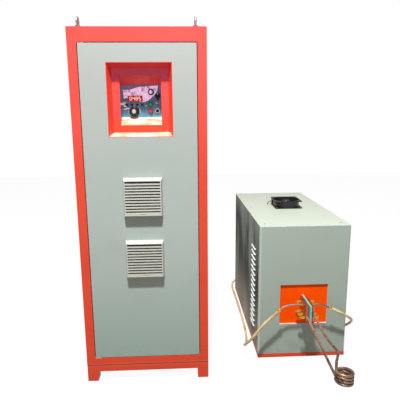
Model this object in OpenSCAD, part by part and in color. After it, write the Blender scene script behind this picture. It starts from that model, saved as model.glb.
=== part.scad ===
// Induction heating machine: a tall power cabinet and a heating station with a work coil.
// Millimetres, Z up, both fronts face -Y, the floor is z = 0.

/* [Layout] */
// Clear floor between the cabinet and the station
unit_gap = 233; // [150:1:400]
// How far the station's front stands behind the cabinet's front
station_setback = 131; // [100:1:200]

/* [Cabinet body] */
// Width of the cabinet
cab_w = 500; // [480:1:620]
// Depth of the cabinet
cab_d = 600; // [560:1:700]
// Height of the cabinet to its roof
cab_h = 1392; // [1350:1:1500]
// Width of the square corner posts and side rails
post_w = 34; // [30:1:38]
// Height of the top beams
top_beam_h = 52; // [46:1:60]
// Height of the bottom beams
bottom_beam_h = 31.5; // [28:0.5:40]
// Wall of the frame tubes
tube_wall = 5; // [4.5:0.1:6]
// Thickness of the roof and the floor sheet
roof_t = 2; // [1.5:0.1:3]
// Thickness of the side and rear panels
panel_t = 2; // [1.5:0.1:2.5]
// How far the panels lie below the frame's faces
panel_inset = 1.5; // [1.5:0.1:1.9]
// Width of frame that a panel covers at each edge
panel_lip = 12; // [11:1:14]
// Clearance round the edge of a panel
panel_fit = 0.5; // [0.3:0.1:1]

/* [Plinth] */
// Height of the plinth with its legs
plinth_h = 71.5; // [66:0.5:90]
// Width of a leg and of the plinth beams
leg_w = 44; // [40:1:50]
// Height of the legs below the plinth beams
leg_h = 43; // [38:0.5:50]

/* [Lifting eyes] */
// Distance of an eye from the cabinet's side
eye_inset_x = 40; // [38:1:60]
// Outer diameter of the eye's ring
eye_d = 36; // [32:1:44]
// Thickness of the ring
eye_wire = 8; // [6:0.5:9]
// Diameter of the ring's hole
eye_bore_d = 21; // [20:0.5:28]
// Diameter of the eye's collar
eye_collar_d = 20; // [18:1:24]
// Height of the eye's collar
eye_collar_h = 6; // [5:0.5:8]
// Diameter of the eye's threaded shank
eye_shank_d = 8; // [6:1:10]
// Length of the shank below the roof
eye_shank_l = 15; // [12:1:18]

/* [Front door] */
// Gap between the door and the frame
door_gap = 3; // [2.6:0.1:3.5]
// How far the door's face lies behind the frame's face
door_inset = 1; // [0.5:0.1:1.5]
// Depth of the door's folded edges
door_t = 20; // [18:1:22]
// Thickness of the door's sheet
door_sheet = 2; // [1.5:0.1:2.5]
// Distance of the pivot from the door's edge and face
pivot_inset = 6; // [5:0.1:6]
// Diameter of the pivot pins
pivot_d = 6; // [4:0.5:7]
// How far a pivot pin reaches into the door
pivot_reach = 12; // [8:1:16]
// Width of the pivot brackets
pivot_bracket_w = 26; // [20:1:30]
// Clearance between a pivot bracket and the door
pivot_clear = 0.3; // [0.2:0.1:0.5]
// Width of the seal strip round the door's back edge
seal_w = 8; // [6:1:10]

/* [Control recess] */
// How far the recess and the vents stand right of the door's middle
front_shift = 3; // [0:0.5:6]
// Height from the recess centre to the cabinet's top
recess_drop = 256; // [246:1:280]
// Width of the recess in the door
recess_w = 240; // [232:1:260]
// Height of the recess in the door
recess_h = 269; // [260:1:290]
// Depth from the door's face to the recess frame
recess_depth = 40; // [34:1:48]
// How far the recess walls splay inwards at the sides
splay_side = 13; // [8:1:16]
// How far the recess walls splay inwards at top and bottom
splay_end = 14.5; // [8:0.5:18]
// Width of the window in the recess frame
window_w = 154; // [150:1:166]
// Height of the window in the recess frame
window_h = 181; // [170:1:200]
// Sheet thickness of the recess and the control box
recess_sheet = 2; // [1.5:0.1:2.5]
// Width of the control box behind the window
console_w = 200; // [190:1:208]
// Depth of the control box
console_depth = 62; // [55:1:75]
// Height of the control panel that its sloped walls leave open
panel_view_h = 122; // [116:1:130]

/* [Controls] */
// Skirt diameter of the power knob
knob_skirt_d = 40; // [34:1:44]
// Body diameter of the power knob
knob_body_d = 30; // [24:1:32]
// Height of the power knob
knob_h = 20; // [16:1:24]
// Diameter of the knob's bright cap
knob_cap_d = 16; // [12:1:20]
// Diameter of the knob shafts
shaft_d = 6; // [5:0.5:6]
// Diameter of the push buttons
button_d = 12.6; // [11:0.1:13]
// Outer diameter of the push buttons' bezels
bezel_d = 18; // [17:0.5:20]
// Height of the bezels in front of the panel
bezel_h = 4; // [3:0.5:6]
// Stroke of the push buttons
button_stroke = 2.5; // [1.5:0.1:3]
// Grip length of the handle selector
grip_l = 31; // [26:1:31]
// Grip width of the handle selector
grip_w = 9; // [7:0.5:11]
// Diameter of the timer knob
timer_d = 24; // [20:1:24]
// Diameter of the lamps' lenses
lamp_d = 8; // [6:0.5:9]
// Width of the digital display
display_w = 56; // [50:1:58]
// Height of the digital display
display_h = 22; // [18:1:24]
// Width of the label sheet
label_w = 148; // [140:1:150]
// Height of the label sheet
label_h = 62; // [56:1:64]
// Thickness of the label sheet
label_t = 0.8; // [0.5:0.1:1]

/* [Door vents] */
// Height from the upper vent's centre to the recess centre
vent_drop = 361; // [340:1:390]
// Distance between the two vents' centres
vent_pitch = 245.5; // [200:0.5:280]
// Side of a vent at the door
vent_size = 148.5; // [144:0.5:160]
// How far a vent stands out of the door
vent_proud = 24; // [20:1:30]
// Slope of the vent's top edge
vent_bevel_top = 8.5; // [5:0.5:10]
// Slope of the vent's other edges
vent_bevel = 4.5; // [3:0.5:5]
// Thickness of the vent's shell
vent_wall = 3; // [2:0.1:3]
// Width of the vent's closed border at its sides and top
vent_border = 3; // [2:0.5:5]
// Height of the closed band below the slats
vent_band = 10; // [8:0.5:12]
// Number of gaps between the slats
vent_gaps = 11; // [8:1:12]

/* [Fans] */
// Side of the door's square fans
fan_size = 120; // [116:1:124]
// Depth of the fans
fan_depth = 38; // [34:1:40]
// Narrowest width of a fan's flange beside its bore
fan_rim = 4; // [3.5:0.5:6]
// Diameter of the fan hubs
fan_hub_d = 44; // [38:1:50]
// Number of blades on an impeller
fan_blades = 7; // [5:1:9]
// Thickness of the blades and of the fans' flanges
fan_flange = 4; // [3:0.5:5]
// Distance of a fan's screw holes from its edges
fan_hole_edge = 7.5; // [7:0.1:8]
// Diameter of a fan's screw holes
fan_hole_d = 4.4; // [4.2:0.1:5]

/* [Cabinet equipment] */
// Thickness of the mounting plate
plate_t = 2.5; // [2:0.1:3]
// How far the mounting plate laps the rear posts
plate_lap = 14; // [10:1:18]
// Width of the circuit breaker
breaker_w = 105; // [90:1:110]
// Height of the circuit breaker
breaker_h = 165; // [150:1:170]
// Depth of the circuit breaker
breaker_dep = 70; // [60:1:80]
// Width of the contactor
contactor_w = 110; // [90:1:120]
// Height of the contactor
contactor_h = 120; // [100:1:130]
// Depth of the contactor
contactor_dep = 110; // [90:1:120]
// Width of the water-cooled plate
cooler_w = 300; // [280:1:340]
// Height of the water-cooled plate
cooler_h = 220; // [200:1:230]
// Thickness of the water-cooled plate
cooler_t = 18; // [15:1:22]
// Width of a power module
module_w = 62; // [50:1:66]
// Height of a power module
module_h = 122; // [100:1:130]
// Depth of a power module
module_dep = 34; // [28:1:38]
// Diameter of a smoothing capacitor
cap_d = 76; // [64:1:80]
// Length of a smoothing capacitor
cap_l = 145; // [120:1:150]
// Width of the inverter board
board_w = 250; // [220:1:280]
// Height of the inverter board
board_h = 150; // [130:1:150]
// Length of the board's stand-offs
standoff_l = 25; // [20:1:30]

/* [Station body] */
// Width of the station
station_w = 396; // [380:1:440]
// Depth of the station
station_d = 800; // [760:1:880]
// Height of the station to its lid
station_h = 612; // [590:1:660]
// Height of the station's base tray
base_h = 19; // [16:1:24]
// Wall of the base tray
base_wall = 3; // [2:0.1:4]
// Thickness of the station's sheets
skin_t = 2; // [1.5:0.1:2.5]
// Radius of the front panel's bent edges
bend_r = 8; // [5:0.5:10]
// Depth of the front panel's side returns
return_d = 25; // [20:1:32]
// Depth of the front panel's top flange
flange_d = 20; // [16:1:26]
// Seam between the front panel and the lid
lid_seam = 1; // [0.3:0.1:1]

/* [Station louvres] */
// Number of louvres in a side panel
louvre_count = 16; // [10:1:17]
// Distance between the louvres
louvre_pitch = 25; // [22:0.5:26]
// Height of the lowest louvre
louvre_z = 103; // [90:1:110]
// Start of the louvres behind the front
louvre_y = 100; // [90:1:140]
// Length of a louvre
louvre_l = 88; // [70:1:110]
// Height of a louvre
louvre_h = 13; // [10:0.5:14]
// How far a louvre stands out
louvre_proud = 6; // [4:0.5:8]
// Sheet thickness of a louvre
louvre_t = 1.2; // [1:0.1:1.4]

/* [Station fan] */
// Side of the station's square fan
top_fan_size = 135; // [130:1:140]
// Centre of the top fan from the station's left side
top_fan_x = 211; // [190:1:215]
// Centre of the top fan behind the station's front
top_fan_y = 412; // [380:1:440]

/* [Output head] */
// Left edge of the orange board's window
board_x = 94; // [88:1:98]
// Width of the orange board's window
window2_w = 212; // [206:1:222]
// Bottom edge of the orange board's window
board_z = 162; // [156:1:168]
// Height of the orange board's window
window2_h = 184; // [178:1:190]
// Depth from the front to the orange board
board_recess = 8; // [6:0.5:12]
// Thickness of the orange board
board_t = 8; // [6:0.5:10]
// Centre of the output plates from the station's left side
head_x = 197; // [192:1:202]
// Height of the output plates' centre
head_z = 259; // [256:1:262]
// Thickness of the insulating plate
insulator_t = 7; // [5:0.5:9]
// Height of the insulating plate
insulator_h = 74; // [72:1:78]
// How far the insulating plate stands out of the front
insulator_out = 118; // [114:1:124]
// Thickness of the copper output plates
bus_t = 8; // [6:0.5:10]
// Height of the copper output plates
bus_h = 64; // [62:1:68]
// How far the copper output plates stand out of the front
bus_out = 102; // [98:1:105]
// Thickness of the coil's copper plates
coil_plate_t = 6; // [5:0.5:8]
// Distance of the coil plates' front edge from the front
coil_plate_out = 108; // [107:1:110]
// Distance of the coil plates' rear edge from the front
coil_plate_rear = 14; // [10:1:16]
// Diameter of the clamp studs
stud_d = 8; // [6:0.5:8]
// Width across the flats of the long brass nuts
nut_af = 13; // [11:0.5:14]
// Length of the long brass nuts
nut_l = 20; // [16:1:24]
// How far a stud's end stands out of its nut
stud_end = 4; // [2:0.5:6]

/* [Work coil] */
// Diameter of the coil's copper tube
coil_tube_d = 10; // [8:0.5:10]
// Distance of the coil's axis from the station's front
coil_out = 478.5; // [450:0.5:520]
// Coil's axis from the station's left side
coil_x = 201; // [196:1:206]
// Height of the coil's top turn
coil_z = 237; // [227:1:245]
// Radius of the coil at the tube's centre
coil_r = 27.5; // [26:0.5:35]
// Number of turns in the coil
coil_turns = 3.75; // [2.75:1:4.75]
// Rise of one turn
coil_pitch = 11.5; // [11:0.1:13]
// Radius of the bend where the lower lead leaves the coil
lead_bend_r = 15; // [12:1:20]

/* [Water fittings] */
// Outer diameter of the cooling hoses
hose_d = 12; // [11:0.5:12]
// Diameter of the coil's water stubs and of the hose barbs
stub_d = 8; // [6:0.5:8]
// Diameter of the supply hose spigots
spigot_d = 16; // [12:1:20]
// Length of the supply hose spigots
spigot_l = 30; // [24:1:30]
// Diameter of the spigots' collars
collar_d = 28; // [24:1:32]
// Thickness of the spigots' collars
collar_t = 5; // [4:0.5:7]
// Outer diameter of a cable gland
gland_d = 36; // [30:1:38]
// Bore of a cable gland
gland_bore = 18; // [14:1:20]
// Length of a cable gland outside the panel
gland_l = 26; // [20:1:29]
// Width of a hose clamp's band
clamp_w = 9; // [7:0.5:12]
// Thickness of a hose clamp's band
clamp_t = 1; // [0.8:0.1:1.5]

/* [Fasteners] */
// Head diameter of the panel screws
screw_head_d = 8; // [7:0.5:8.5]
// Head height of the panel screws
screw_head_h = 1.4; // [1:0.1:1.4]
// Shank diameter of the panel screws
screw_d = 4; // [3:0.1:4]
// Shank length of the panel screws
screw_l = 6; // [5:0.5:8]

/* [Hidden] */
$fn = 48;
// Overrun of a cut past the face it leaves
over = 1;
// Radial clearance of a turning or sliding fit
run_fit = 0.05;
// Clearance of a loose fit and of a fastener in its hole
loose_fit = 0.1;
// Clearance between pieces that move past each other
move_gap = 0.3;

// Whole machine: the origin is under the middle of its bounding box
spigot_reach = collar_t + spigot_l;
total_w = cab_w + unit_gap + station_w + louvre_proud;
front_reach = coil_out + coil_r + coil_tube_d / 2;
total_d = front_reach + station_d + spigot_reach;
cab_x = -total_w / 2;
station_x = cab_x + cab_w + unit_gap;
station_y = front_reach - total_d / 2;
cab_y = station_y - station_setback;

// Cabinet
open_x = post_w;
open_w = cab_w - 2 * post_w;
open_z = plinth_h + bottom_beam_h;
open_top = cab_h - top_beam_h;
frame_top = cab_h - roof_t;
pocket = panel_t + panel_inset;
rail_step = 0.5;
eye_y = post_w / 2;
plate_y = cab_d - post_w - plate_t;

// Door
door_x = open_x + door_gap;
door_w = open_w - 2 * door_gap;
door_z = open_z + door_gap;
door_h = open_top - open_z - 2 * door_gap;
pivot_x = door_x + pivot_inset;
pivot_y = door_inset + pivot_inset;
seal_t = 3;

// Recess, control box and vents
recess_x = cab_w / 2 + front_shift;
recess_z = cab_h - recess_drop;
vent_x = recess_x;
vent_z = recess_z - vent_drop;
ring_y = door_inset + recess_depth;
console_y = ring_y + recess_sheet;
panel_y = console_y + console_depth;
panel_plate_t = 2;
console_reveal = 2;

// Places of the controls, from the middle of the recess
knob_at = [-31.6, -39];
start_at = [32.5, -11.5];
stop_at = [32.5, -38.5];
mode_at = [58.5, -37.5];
handle_at = [60.5, 19];
timer_at = [35, 34.5];
display_at = [-27, 10];
power_lamp_at = [-50.5, 53];
lamp_row_z = -13.8;
lamp_row_x = -61;
lamp_pitch = 20.2;
lamp_count = 4;
power_lamp_d = 5;
pot_d = 24;
pot_l = 18;
bush_d = 9;
block_side = 22;
block_l = 34;
plug_d = 15;
mode_barrel_d = 12;
mode_barrel_h = 3;
mode_ring_h = 2.5;
handle_base_d = 22;
grip_h = 14;
grip_base_share = 0.33;
handle_base_h = 3;
timer_h = 9;
timer_cap_d = 14;
cap_rise = 1;
skirt_h = 4;
button_rise = 5;
button_l = 9;
display_rise = 2;
display_dep = 26;
display_edge = 2;
lamp_rise = 2;
lamp_dep = 8;
label_shift = [-6, 28];
label_share = [[-0.46, 0.23], [-0.26, 0.25], [-0.05, 0.42], [0.46, 0.5], [0.43, 0.1], [0.31, -0.19],
    [0.2, -0.4], [0.1, -0.5], [0, -0.5], [-0.1, -0.44], [-0.2, -0.3], [-0.4, -0.24], [-0.44, -0.32]];

// Door vents
vent_base_t = 4;
vent_neck_w = 3;
vent_seat = 2;
vent_hole = fan_size - 2 * vent_seat;
vent_neck = vent_hole + 2 * vent_neck_w;
vent_neck_l = door_sheet + 9;
grille_dep = vent_proud - vent_base_t - move_gap;
notch_w = 22;
notch_h = 3;
vent_front_h = vent_size - vent_bevel_top - vent_bevel;
slat_field = vent_front_h - vent_border - vent_band;
slat_pitch = slat_field / vent_gaps;
slat_share = 0.47;
slat_rise_share = 2;

// Fans
fan_pin_d = 8;
fan_pin_l = 16;
fan_motor_l = 14;
fan_arm_w = 7;
fan_block_y = 29;
fan_block_w = 18;
fan_block_l = 18;
blade_gap = 2;
blade_pitch = 38;
blade_l = 20;
hub_l = 18;

// Cabinet equipment, row below row from the mounting plate's top
mid_x = cab_w / 2;
plate_margin = 45;
plate_top = open_top - plate_margin;
breaker_left = 188;
contactor_left = 20;
contactor_drop = 35;
board_left = 140;
board_drop = 80;
cooler_left = 160;
cooler_drop = 50;
cap_left = 135;
cap_drop = 130;
breaker_at = [mid_x - breaker_left, plate_top - breaker_h];
contactor_at = [mid_x - contactor_left, plate_top - contactor_drop - contactor_h];
board_at = [mid_x - board_left, breaker_at[1] - board_drop - board_h];
cooler_at = [mid_x - cooler_left, board_at[1] - cooler_drop - cooler_h];
cap_row_z = cooler_at[1] - cap_drop;
cap_x = mid_x - cap_left;
cap_pitch = 110;
cap_count = 3;
terminal_d = 14;
terminal_h = 8;
lever_w = 12;
lever_t = 8;
lever_blade_t = 5;
lever_l = 26;
lever_slot_w = 18;
lever_slot_h = 56;
lever_slot_dep = 20;
lever_pin_d = 4;
lever_pin_y = 9;
lever_tilt = 30;
pcb_t = 1.6;
standoff_d = 8;
chip_share = [[0.1, 0.15, 0.22, 0.3, 0.9], [0.42, 0.2, 0.16, 0.16, 0.5], [0.68, 0.15, 0.2, 0.42, 1],
    [0.15, 0.62, 0.3, 0.2, 0.6], [0.56, 0.68, 0.34, 0.16, 0.4]];
chip_h = 22;
board_edge = 8;
module_count = 3;
rear_low_z = 240;
spigot_left = 150;
spigot_x = mid_x - spigot_left;
spigot_pitch = 70;
gland_right = 10;
gland_x = mid_x + gland_right;
gland_pitch = 60;
gland_nut_d = 30;
gland_nut_t = 6;
thread_d = 20;
inner_l = 12;
slot_w = 110;
slot_h = 6;
slot_pitch = 15;
slot_rows = 8;
slot_drop = 190;
slot_z = open_top - slot_drop;
slot_space_share = 0.6;

// Station
skin_top = station_h - skin_t;
board_lap = 10;
lip_d = board_recess;
half_ins = insulator_t / 2;
bus_x = half_ins + bus_t;
coil_plate_x = bus_x + coil_plate_t;
insulator_in = 60;
bus_in = 118;
coil_plate_h = bus_h;
stud_in = bus_t - over;
// Stud places: behind the front, and above or below the plates' centre
stud_y = [-28, -28, -60, -92];
stud_z = [22, -20, -20, -20];
stub_y = -60;
stub_z = 22;
nipple_d = 13;
nipple_l = 12;
core_w = 176;
core_d = 170;
core_h = 150;
core_z = head_z - core_h / 2;
core_leg = 22;
winding_w = 60;
winding_over = 16;
tank_w = 110;
tank_d = 100;
tank_h = 150;
tank_x = 70;
tank_y = 360;
tank_pitch_x = 140;
tank_pitch_y = 130;
tank_stud_h = 14;
rear_hose_x = 120;
rear_hose_z = 40;
rear_supply_z = 130;
rear_gland_z = 230;
barb_l = 28;

// Work coil
left_lead_z = 247.5;
right_lead_z = 257;
coil_sides = 6;
loop_rings = 24;
// The upper lead, as shares of the way from its plate to the coil's top turn
upper_lead_share = [[0, 0.1, 0.19], [0, 0.2, 0.36], [0.01, 0.38, 0.77], [-0.03, 0.52, 0.84],
    [-0.13, 0.59, 0.89], [-0.21, 0.65, 0.93], [-0.17, 0.71, 0.955], [0.1, 0.78, 0.98],
    [0.4, 0.84, 0.99], [0.72, 0.92, 1]];
plate_mid = bus_x + coil_plate_t / 2;
upper_start = [head_x + plate_mid, -coil_plate_out, right_lead_z];
lower_start = [head_x - plate_mid, -coil_plate_out, left_lead_z];
upper_end = [coil_x - coil_r, -coil_out, coil_z];
coil_low = coil_z - coil_turns * coil_pitch;

// Hose and lead routes, from the station's front left corner at the floor
left_stub = [[160, -60, 281], [140, -60, 281], [118, -60, 279], [98, -60, 273], [82, -61, 263],
    [70, -62, 251]];
right_stub = [[234, -60, 281], [248, -60, 281], [264, -59, 277], [280, -58, 269], [296, -57, 261],
    [308, -56, 256]];
left_route = [[82, -61, 263], [70, -62, 251], [50, -62, 232], [20, -62, 205], [-10, -62, 169], [-34, -60, 136],
    [-52, -48, 108], [-61, -24, 84], [-60, 8, 62], [-53, 42, 44], [-43, 80, 29], [-34, 120, 17],
    [-27, 165, 9], [-22, 215, 6], [-18, 290, 6], [-16, 400, 6], [-16, 520, 6], [-17, 640, 6],
    [-18, 740, 6], [-18, 800, 6], [-13, 848, 8], [3, 888, 12], [32, 914, 18], [66, 918, 25],
    [97, 901, 32], [115, 871, 38], [120, 845, 40], [120, 829, 40], [120, 806, 40]];
right_route = [[296, -57, 261], [308, -56, 256], [330, -55, 245], [356, -53, 231], [382, -46, 214],
    [403, -32, 195], [417, -10, 174], [423, 18, 151], [424, 48, 127], [423, 80, 103],
    [421, 112, 80], [419, 148, 57],
    [416, 188, 36], [414, 232, 19], [413, 285, 9], [412, 345, 6], [412, 450, 6], [413, 560, 6],
    [414, 670, 6], [414, 750, 6], [414, 800, 6], [409, 848, 8], [393, 888, 12], [364, 914, 18],
    [330, 918, 25], [299, 901, 32], [281, 871, 38], [276, 845, 40], [276, 829, 40], [276, 806, 40]];
fan_lead_route = [[143.5, 450, 632], [139, 450, 632], [134, 452, 631], [130, 456, 628], [128, 460, 624],
    [127, 464, 619], [126, 468, 614], [126, 470, 608], [126, 470, 602]];
fan_lead_d = 4;
lead_hole_x = 126;
lead_hole_y = 470;
lead_hole_d = 9;
hose_sides = 10;
stub_sides = 12;
lead_sides = 8;
// Places of the clamps along the hoses, between these pairs of route points
clamp_bands = [[left_route[0], left_route[1]], [right_route[0], right_route[1]]];
rear_clamp_y = 812;
ear_w = 5;
ear_h = 7;

frame_red = "#e8503c";
door_grey = "#b7c1b1";
station_grey = "#a2ada0";
orange = "#ff4f00";
teal = "#7fd8cc";
copper = "#b97a5e";
brass = "#c9a545";
steel = "#b9bdc0";
black = "#222325";
panel_blue = "#4f6f82";
cream = "#d9c28a";

module in_cabinet() {
    translate([cab_x, cab_y, 0]) children();
}

module in_station() {
    translate([station_x, station_y, 0]) children();
}

module in_recess(at, y) {
    in_cabinet() translate([recess_x + at[0], y, recess_z + at[1]]) children();
}

module slab(corner, size) {
    translate(corner) cube(size);
}

// Cylinders that start at a point and run along +X or +Y
module rod_x(at, d, l) {
    translate(at) rotate([0, 90, 0]) cylinder(d = d, h = l);
}

module rod_y(at, d, l) {
    translate(at) rotate([-90, 0, 0]) cylinder(d = d, h = l);
}

module rod_z(at, d, l) {
    translate(at) cylinder(d = d, h = l);
}

// A box whose front is smaller than its back, for recess walls and vent shells.
// Each end is [y, left, right, bottom, top].
module taper(a, b) {
    ends = [for (e = [a, b], c = [[1, 3], [2, 3], [2, 4], [1, 4]]) [e[c[0]], e[0], e[c[1]]]];
    polyhedron(ends, [[0, 3, 2, 1], [4, 5, 6, 7], [0, 1, 5, 4], [1, 2, 6, 5], [2, 3, 7, 6], [3, 0, 4, 7]]);
}

// An outline in Y and Z, run along X
module profile_x(points, x, l) {
    translate([x, 0, 0]) rotate([90, 0, 90]) linear_extrude(l) polygon(points);
}

// A tube swept along points with a steady frame
function unit(v) = v / norm(v);
function tangents(p) = [for (i = [0:len(p) - 1]) unit(p[min(i + 1, len(p) - 1)] - p[max(i - 1, 0)])];
function across(t) = unit(cross(t, abs(t[2]) < 0.9 ? [0, 0, 1] : [1, 0, 0]));
function carry(n, t) = unit(n - t * (n * t));
function normals(t) = [for (i = 0, n = across(t[0]); i < len(t);
    i = i + 1, n = carry(n, t[min(i, len(t) - 1)])) n];
function ring(p, t, n, r, sides) = [for (k = [0:sides - 1])
    p + r * (cos(360 * k / sides) * n + sin(360 * k / sides) * cross(t, n))];
function curve(a, b, c, d, u) = (2 * b + (c - a) * u + (2 * a - 5 * b + 4 * c - d) * u * u
    + (3 * b - a - 3 * c + d) * u * u * u) / 2;
function smooth(p, steps) = concat([for (i = [0:len(p) - 2], k = [0:steps - 1])
    curve(p[max(i - 1, 0)], p[i], p[i + 1], p[min(i + 2, len(p) - 1)], k / steps)], [p[len(p) - 1]]);

module tube(path, d, sides) {
    t = tangents(path);
    n = normals(t);
    last = len(path) - 1;
    points = [for (i = [0:last]) each ring(path[i], t[i], n[i], d / 2, sides)];
    walls = [for (i = [0:last - 1], k = [0:sides - 1]) let (a = i * sides + k, b = i * sides + (k + 1) % sides)
        each [[a, b, b + sides], [a, b + sides, a + sides]]];
    near = [for (k = [1:sides - 2]) [0, k + 1, k]];
    far = [for (k = [1:sides - 2]) [last * sides, last * sides + k, last * sides + k + 1]];
    polyhedron(points, [for (f = concat(walls, near, far)) [f[2], f[1], f[0]]]);
}

// Cabinet frame and covers
module box_tube(corner, size, along) {
    wall = [for (i = [0:2]) i == along ? -over : tube_wall];
    difference() {
        slab(corner, size);
        slab(corner + wall, size - 2 * wall);
    }
}

module panel_pockets() {
    lip_y = post_w - panel_lip;
    lip_z = open_z - panel_lip;
    pocket_h = open_top - open_z + 2 * panel_lip;
    for (x = [-over, cab_w - pocket])
        slab([x, lip_y, lip_z], [pocket + over, cab_d - 2 * lip_y, pocket_h]);
    slab([lip_y, cab_d - pocket, lip_z], [cab_w - 2 * lip_y, pocket + over, pocket_h]);
}

// Places of the screws that hold the side and rear panels
screw_edge = post_w - panel_lip / 2;
screw_levels = 4;
module at_side_screws() {
    for (y = [screw_edge, cab_d - screw_edge], k = [0:screw_levels - 1]) {
        z = open_z + post_w + k * (open_top - open_z - 2 * post_w) / (screw_levels - 1);
        translate([panel_inset, y, z]) rotate([0, 90, 0]) children();
        translate([cab_w - panel_inset, y, z]) rotate([0, -90, 0]) children();
    }
}

module at_rear_screws() {
    for (x = [screw_edge, cab_w - screw_edge], k = [0:screw_levels - 1]) {
        z = open_z + post_w + k * (open_top - open_z - 2 * post_w) / (screw_levels - 1);
        translate([x, cab_d - panel_inset, z]) rotate([90, 0, 0]) children();
    }
}

module at_lid_screws() {
    for (x = [screw_edge, station_w - screw_edge],
            y = [flange_d + screw_edge, station_d / 2, station_d - screw_edge])
        translate([x, y, station_h]) rotate([180, 0, 0]) children();
}

module at_fan_corners(size) {
    for (x = [-1, 1], y = [-1, 1])
        translate([x * (size / 2 - fan_hole_edge), y * (size / 2 - fan_hole_edge), 0]) children();
}

module at_top_fan() {
    translate([top_fan_x, top_fan_y, station_h]) children();
}

// A screw whose head stands on z = 0 of its place and whose shank runs along +Z
module screw(l) {
    translate([0, 0, -screw_head_h]) cylinder(d = screw_head_d, h = screw_head_h);
    cylinder(d = screw_d, h = l);
}

module screw_hole(l) {
    translate([0, 0, -over]) cylinder(d = screw_d + 2 * loose_fit, h = l + 2 * over);
}

module frame_posts() {
    color(frame_red) in_cabinet() difference() {
        for (x = [0, cab_w - post_w], y = [0, cab_d - post_w])
            box_tube([x, y, plinth_h], [post_w, post_w, frame_top - plinth_h], 2);
        panel_pockets();
        at_side_screws() screw_hole(screw_l);
        at_rear_screws() screw_hole(screw_l);
    }
}

module frame_rails() {
    side_l = cab_d - 2 * post_w;
    rail_w = post_w - rail_step;
    color(frame_red) in_cabinet() difference() {
        union() {
            for (y = [0, cab_d - post_w]) {
                box_tube([open_x, y, plinth_h], [open_w, post_w, bottom_beam_h], 0);
                box_tube([open_x, y, open_top], [open_w, post_w, frame_top - open_top], 0);
            }
            for (x = [0, cab_w - rail_w]) {
                box_tube([x, post_w, plinth_h], [rail_w, side_l, bottom_beam_h], 1);
                box_tube([x, post_w, open_top], [rail_w, side_l, frame_top - open_top], 1);
            }
        }
        panel_pockets();
        for (x = [eye_inset_x, cab_w - eye_inset_x], y = [eye_y, cab_d - eye_y])
            rod_z([x, y, frame_top - tube_wall - over], eye_shank_d + 2 * loose_fit, tube_wall + 2 * over);
    }
}

module base_plinth() {
    beam_h = plinth_h - leg_h;
    color(frame_red) in_cabinet() {
        difference() {
            slab([0, 0, leg_h], [cab_w, cab_d, beam_h]);
            slab([leg_w, leg_w, leg_h - over], [cab_w - 2 * leg_w, cab_d - 2 * leg_w, beam_h + 2 * over]);
        }
        for (x = [0, cab_w - leg_w], y = [0, cab_d - leg_w]) slab([x, y, 0], [leg_w, leg_w, leg_h]);
    }
}

module roof_panel() {
    color(frame_red) in_cabinet() difference() {
        slab([0, 0, frame_top], [cab_w, cab_d, roof_t]);
        for (x = [eye_inset_x, cab_w - eye_inset_x], y = [eye_y, cab_d - eye_y])
            rod_z([x, y, frame_top - over], eye_shank_d + 2 * loose_fit, roof_t + 2 * over);
    }
}

module side_panels() {
    lip_y = post_w - panel_lip + panel_fit;
    lip_z = open_z - panel_lip + panel_fit;
    color(door_grey) in_cabinet() difference() {
        for (x = [panel_inset, cab_w - panel_inset - panel_t])
            slab([x, lip_y, lip_z],
                [panel_t, cab_d - 2 * lip_y, open_top - open_z + 2 * (panel_lip - panel_fit)]);
        at_side_screws() screw_hole(screw_l);
    }
}

module at_rear_spigots() {
    for (k = [0, 1]) translate([spigot_x + k * spigot_pitch, 0, rear_low_z]) children();
}

module at_rear_glands() {
    for (k = [0:2]) translate([gland_x + k * gland_pitch, 0, rear_low_z]) children();
}

module rear_panel() {
    lip = post_w - panel_lip + panel_fit;
    lip_z = open_z - panel_lip + panel_fit;
    y = cab_d - panel_inset - panel_t;
    color(door_grey) in_cabinet() difference() {
        slab([lip, y, lip_z], [cab_w - 2 * lip, panel_t, open_top - open_z + 2 * (panel_lip - panel_fit)]);
        at_rear_screws() screw_hole(screw_l);
        at_rear_spigots() rod_y([0, y - over, 0], thread_d + 2 * loose_fit, panel_t + 2 * over);
        at_rear_glands() rod_y([0, y - over, 0], thread_d + 2 * loose_fit, panel_t + 2 * over);
        for (k = [0:slot_rows - 1], s = [-1, 1])
            slab([mid_x + s * slot_w * slot_space_share - slot_w / 2, y - over, slot_z + k * slot_pitch],
                [slot_w, panel_t + 2 * over, slot_h]);
    }
}

module cabinet_floor() {
    color(steel) in_cabinet() slab([open_x, post_w, plinth_h], [open_w, cab_d - 2 * post_w, roof_t]);
}

module lifting_eye() {
    ring_r = (eye_d - eye_wire) / 2;
    difference() {
        union() {
            translate([0, 0, eye_d / 2]) rotate([0, 90, 0]) rotate_extrude()
                translate([ring_r, 0]) circle(d = eye_wire);
            cylinder(d = eye_collar_d, h = eye_collar_h);
            translate([0, 0, -eye_shank_l]) cylinder(d = eye_shank_d, h = eye_shank_l + eye_collar_h / 2);
        }
        translate([-eye_d / 2, 0, eye_d / 2]) rotate([0, 90, 0]) cylinder(d = eye_bore_d, h = eye_d);
    }
}

module lifting_eyes() {
    color(steel) in_cabinet()
        for (x = [eye_inset_x, cab_w - eye_inset_x], y = [eye_y, cab_d - eye_y])
            translate([x, y, cab_h]) lifting_eye();
}

module panel_screws() {
    color(steel) {
        in_cabinet() at_side_screws() screw(screw_l);
        in_cabinet() at_rear_screws() screw(screw_l);
        in_station() at_lid_screws() screw(screw_l);
        in_station() at_top_fan() at_fan_corners(top_fan_size) translate([0, 0, fan_flange]) rotate([180, 0, 0])
            screw(screw_l + fan_flange);
    }
}

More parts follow.
